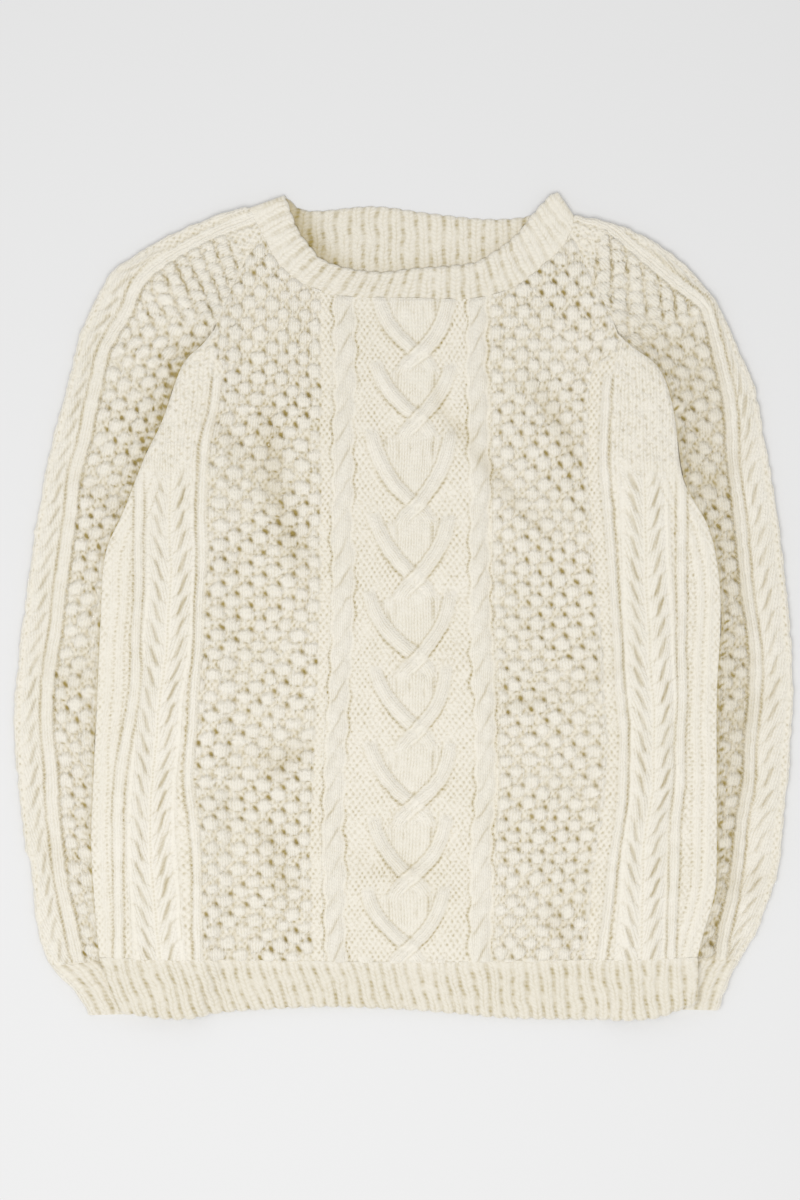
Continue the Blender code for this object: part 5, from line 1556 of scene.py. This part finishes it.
def knit_neckband():
    """The neckband, a closed ribbed ring: its front, a fold, its back and a fold."""
    front_seam, back_seam = neck_line(NECK_FRONT_SEAM), neck_line(NECK_BACK_SEAM)
    front_edge, back_edge = (neck_line(rows, False) for rows in (NECK_FRONT_EDGE, NECK_BACK_EDGE))
    left = [unit(line[0] - line[1]) for line in (front_seam, front_edge)]
    right = [unit(line[-1] - line[-2]) for line in (front_seam, front_edge)]
    relief = 0.75 * knit_size("welt")
    shown, plain, front_values = band_layer(front_seam, front_edge, STACK, WALL + GAP, relief)
    inside, outside, back_values = band_layer(back_seam[::-1], back_edge[::-1], BACK_WALL, 0.0)
    front = np.concatenate([shown, plain[:, ::-1]], axis=1)
    back = np.concatenate([outside, inside[:, ::-1]], axis=1)
    front_values, back_values = (
        np.concatenate([values, values[:, ::-1]], axis=1) for values in (front_values, back_values)
    )
    down = round_fold(front[-1], back[0], right)
    up = round_fold(back[-1], front[0], left)
    down_values = np.repeat(front_values[-1:], len(down), axis=0)
    up_values = np.repeat(front_values[:1], len(up), axis=0)
    sections = np.concatenate([front, down, back, up])
    values = np.concatenate([front_values, down_values, back_values, up_values])
    around = (length_of(front_edge) + length_of(back_edge)) * MM
    area = area_of(shown[..., :2]) + area_of(inside[..., :2])
    finish_piece("neckband", sections, values, (around, area / around), ring=True)


# ---- stage --------------------------------------------------------------------------------------

def set_stage():
    """Floor, lights and a camera straight above."""
    stage = bpy.context.scene.pullover_stage
    scene = bpy.context.scene
    bm = bmesh.new()
    bmesh.ops.create_grid(bm, x_segments=1, y_segments=1, size=FLOOR_HALF)
    mesh = bpy.data.meshes.new("floor")
    bm.to_mesh(mesh)
    bm.free()
    floor = bpy.data.objects.new("floor", mesh)
    floor.location.z = -FLOOR_DROP
    scene.collection.objects.link(floor)
    mesh.materials.append(backdrop_paper())

    world = bpy.data.worlds.new("studio")
    scene.world = world
    world.use_nodes = True
    sky = world.node_tree.nodes["Background"]
    sky.inputs["Color"].default_value = (1.0, 1.0, 1.0, 1.0)
    sky.inputs["Strength"].default_value = stage.fill

    lamp = bpy.data.lights.new("softbox", "AREA")
    lamp.shape = "RECTANGLE"
    lamp.size, lamp.size_y = SOFTBOX_SIZE
    lamp.energy = stage.key
    softbox = bpy.data.objects.new("softbox", lamp)
    softbox.location = SOFTBOX_PLACE
    softbox.rotation_euler = (-softbox.location).to_track_quat("-Z", "Y").to_euler()
    scene.collection.objects.link(softbox)

    lens = bpy.data.cameras.new("overhead camera")
    lens.lens = stage.lens
    camera = bpy.data.objects.new("overhead camera", lens)
    tall = RENDER_HEIGHT * PIXEL  # how much of the floor the render shows, bottom to top
    away = lens.lens / lens.sensor_width * tall
    camera.location = (MIDDLE_ACROSS, MIDDLE_ALONG, away + MIDDLE_DEPTH)
    scene.collection.objects.link(camera)
    scene.camera = camera
    scene.view_settings.view_transform = "Standard"


# ---- add-on -------------------------------------------------------------------------------------

class PULLOVER_OT_front(bpy.types.Operator):
    """Knit the front"""

    bl_idname = "pullover.front"
    bl_label = "Knit Front"

    def execute(self, context):
        knit_front()
        return {"FINISHED"}


class PULLOVER_OT_back(bpy.types.Operator):
    """Knit the back"""

    bl_idname = "pullover.back"
    bl_label = "Knit Back"

    def execute(self, context):
        knit_back()
        return {"FINISHED"}


class PULLOVER_OT_sleeves(bpy.types.Operator):
    """Knit both sleeves"""

    bl_idname = "pullover.sleeves"
    bl_label = "Knit Sleeves"

    def execute(self, context):
        for name in SIGNS:
            knit_sleeve(name)
        return {"FINISHED"}


class PULLOVER_OT_cuffs(bpy.types.Operator):
    """Knit both cuffs"""

    bl_idname = "pullover.cuffs"
    bl_label = "Knit Cuffs"

    def execute(self, context):
        for name in SIGNS:
            knit_cuff(name)
        return {"FINISHED"}


class PULLOVER_OT_hems(bpy.types.Operator):
    """Knit the ribbed hems"""

    bl_idname = "pullover.hems"
    bl_label = "Knit Hems"

    def execute(self, context):
        knit_hem("hem_rib_front", WALL + GAP, True)
        knit_hem("hem_rib_back", 0.0, False)
        return {"FINISHED"}


class PULLOVER_OT_neckband(bpy.types.Operator):
    """Knit the neckband"""

    bl_idname = "pullover.neckband"
    bl_label = "Knit Neckband"

    def execute(self, context):
        knit_neckband()
        return {"FINISHED"}


class PULLOVER_OT_stage(bpy.types.Operator):
    """Set the floor, the lights and the camera"""

    bl_idname = "pullover.stage"
    bl_label = "Set Stage"

    def execute(self, context):
        set_stage()
        return {"FINISHED"}


class VIEW3D_PT_pullover(bpy.types.Panel):
    """Settings and steps of the pullover"""

    bl_label = "Aran Pullover"
    bl_space_type = "VIEW_3D"
    bl_region_type = "UI"
    bl_category = "Pullover"

    def draw(self, context):
        for kind in SETTINGS:
            group = getattr(context.scene, kind)
            for name in group.__annotations__:
                self.layout.prop(group, name)
        for step in STEPS:
            self.layout.operator("pullover." + step)


SETTINGS = {
    "pullover_knit": PulloverKnit, "pullover_wool": PulloverWool, "pullover_stage": PulloverStage,
}
STEPS = ("front", "back", "sleeves", "cuffs", "hems", "neckband", "stage")
CLASSES = (
    *SETTINGS.values(), PULLOVER_OT_front, PULLOVER_OT_back, PULLOVER_OT_sleeves,
    PULLOVER_OT_cuffs, PULLOVER_OT_hems, PULLOVER_OT_neckband, PULLOVER_OT_stage,
    VIEW3D_PT_pullover,
)


def register():
    """Adds the classes and the settings to Blender."""
    for kind in CLASSES:
        bpy.utils.register_class(kind)
    for name, kind in SETTINGS.items():
        setattr(bpy.types.Scene, name, PointerProperty(type=kind))


def unregister():
    """Takes them away again."""
    for name in SETTINGS:
        delattr(bpy.types.Scene, name)
    for kind in reversed(CLASSES):
        bpy.utils.unregister_class(kind)


def main():
    """Knits every piece and sets the stage."""
    register()
    for step in STEPS:
        getattr(bpy.ops.pullover, step)()
    bpy.context.view_layer.update()


if __name__ == "__main__":
    main()
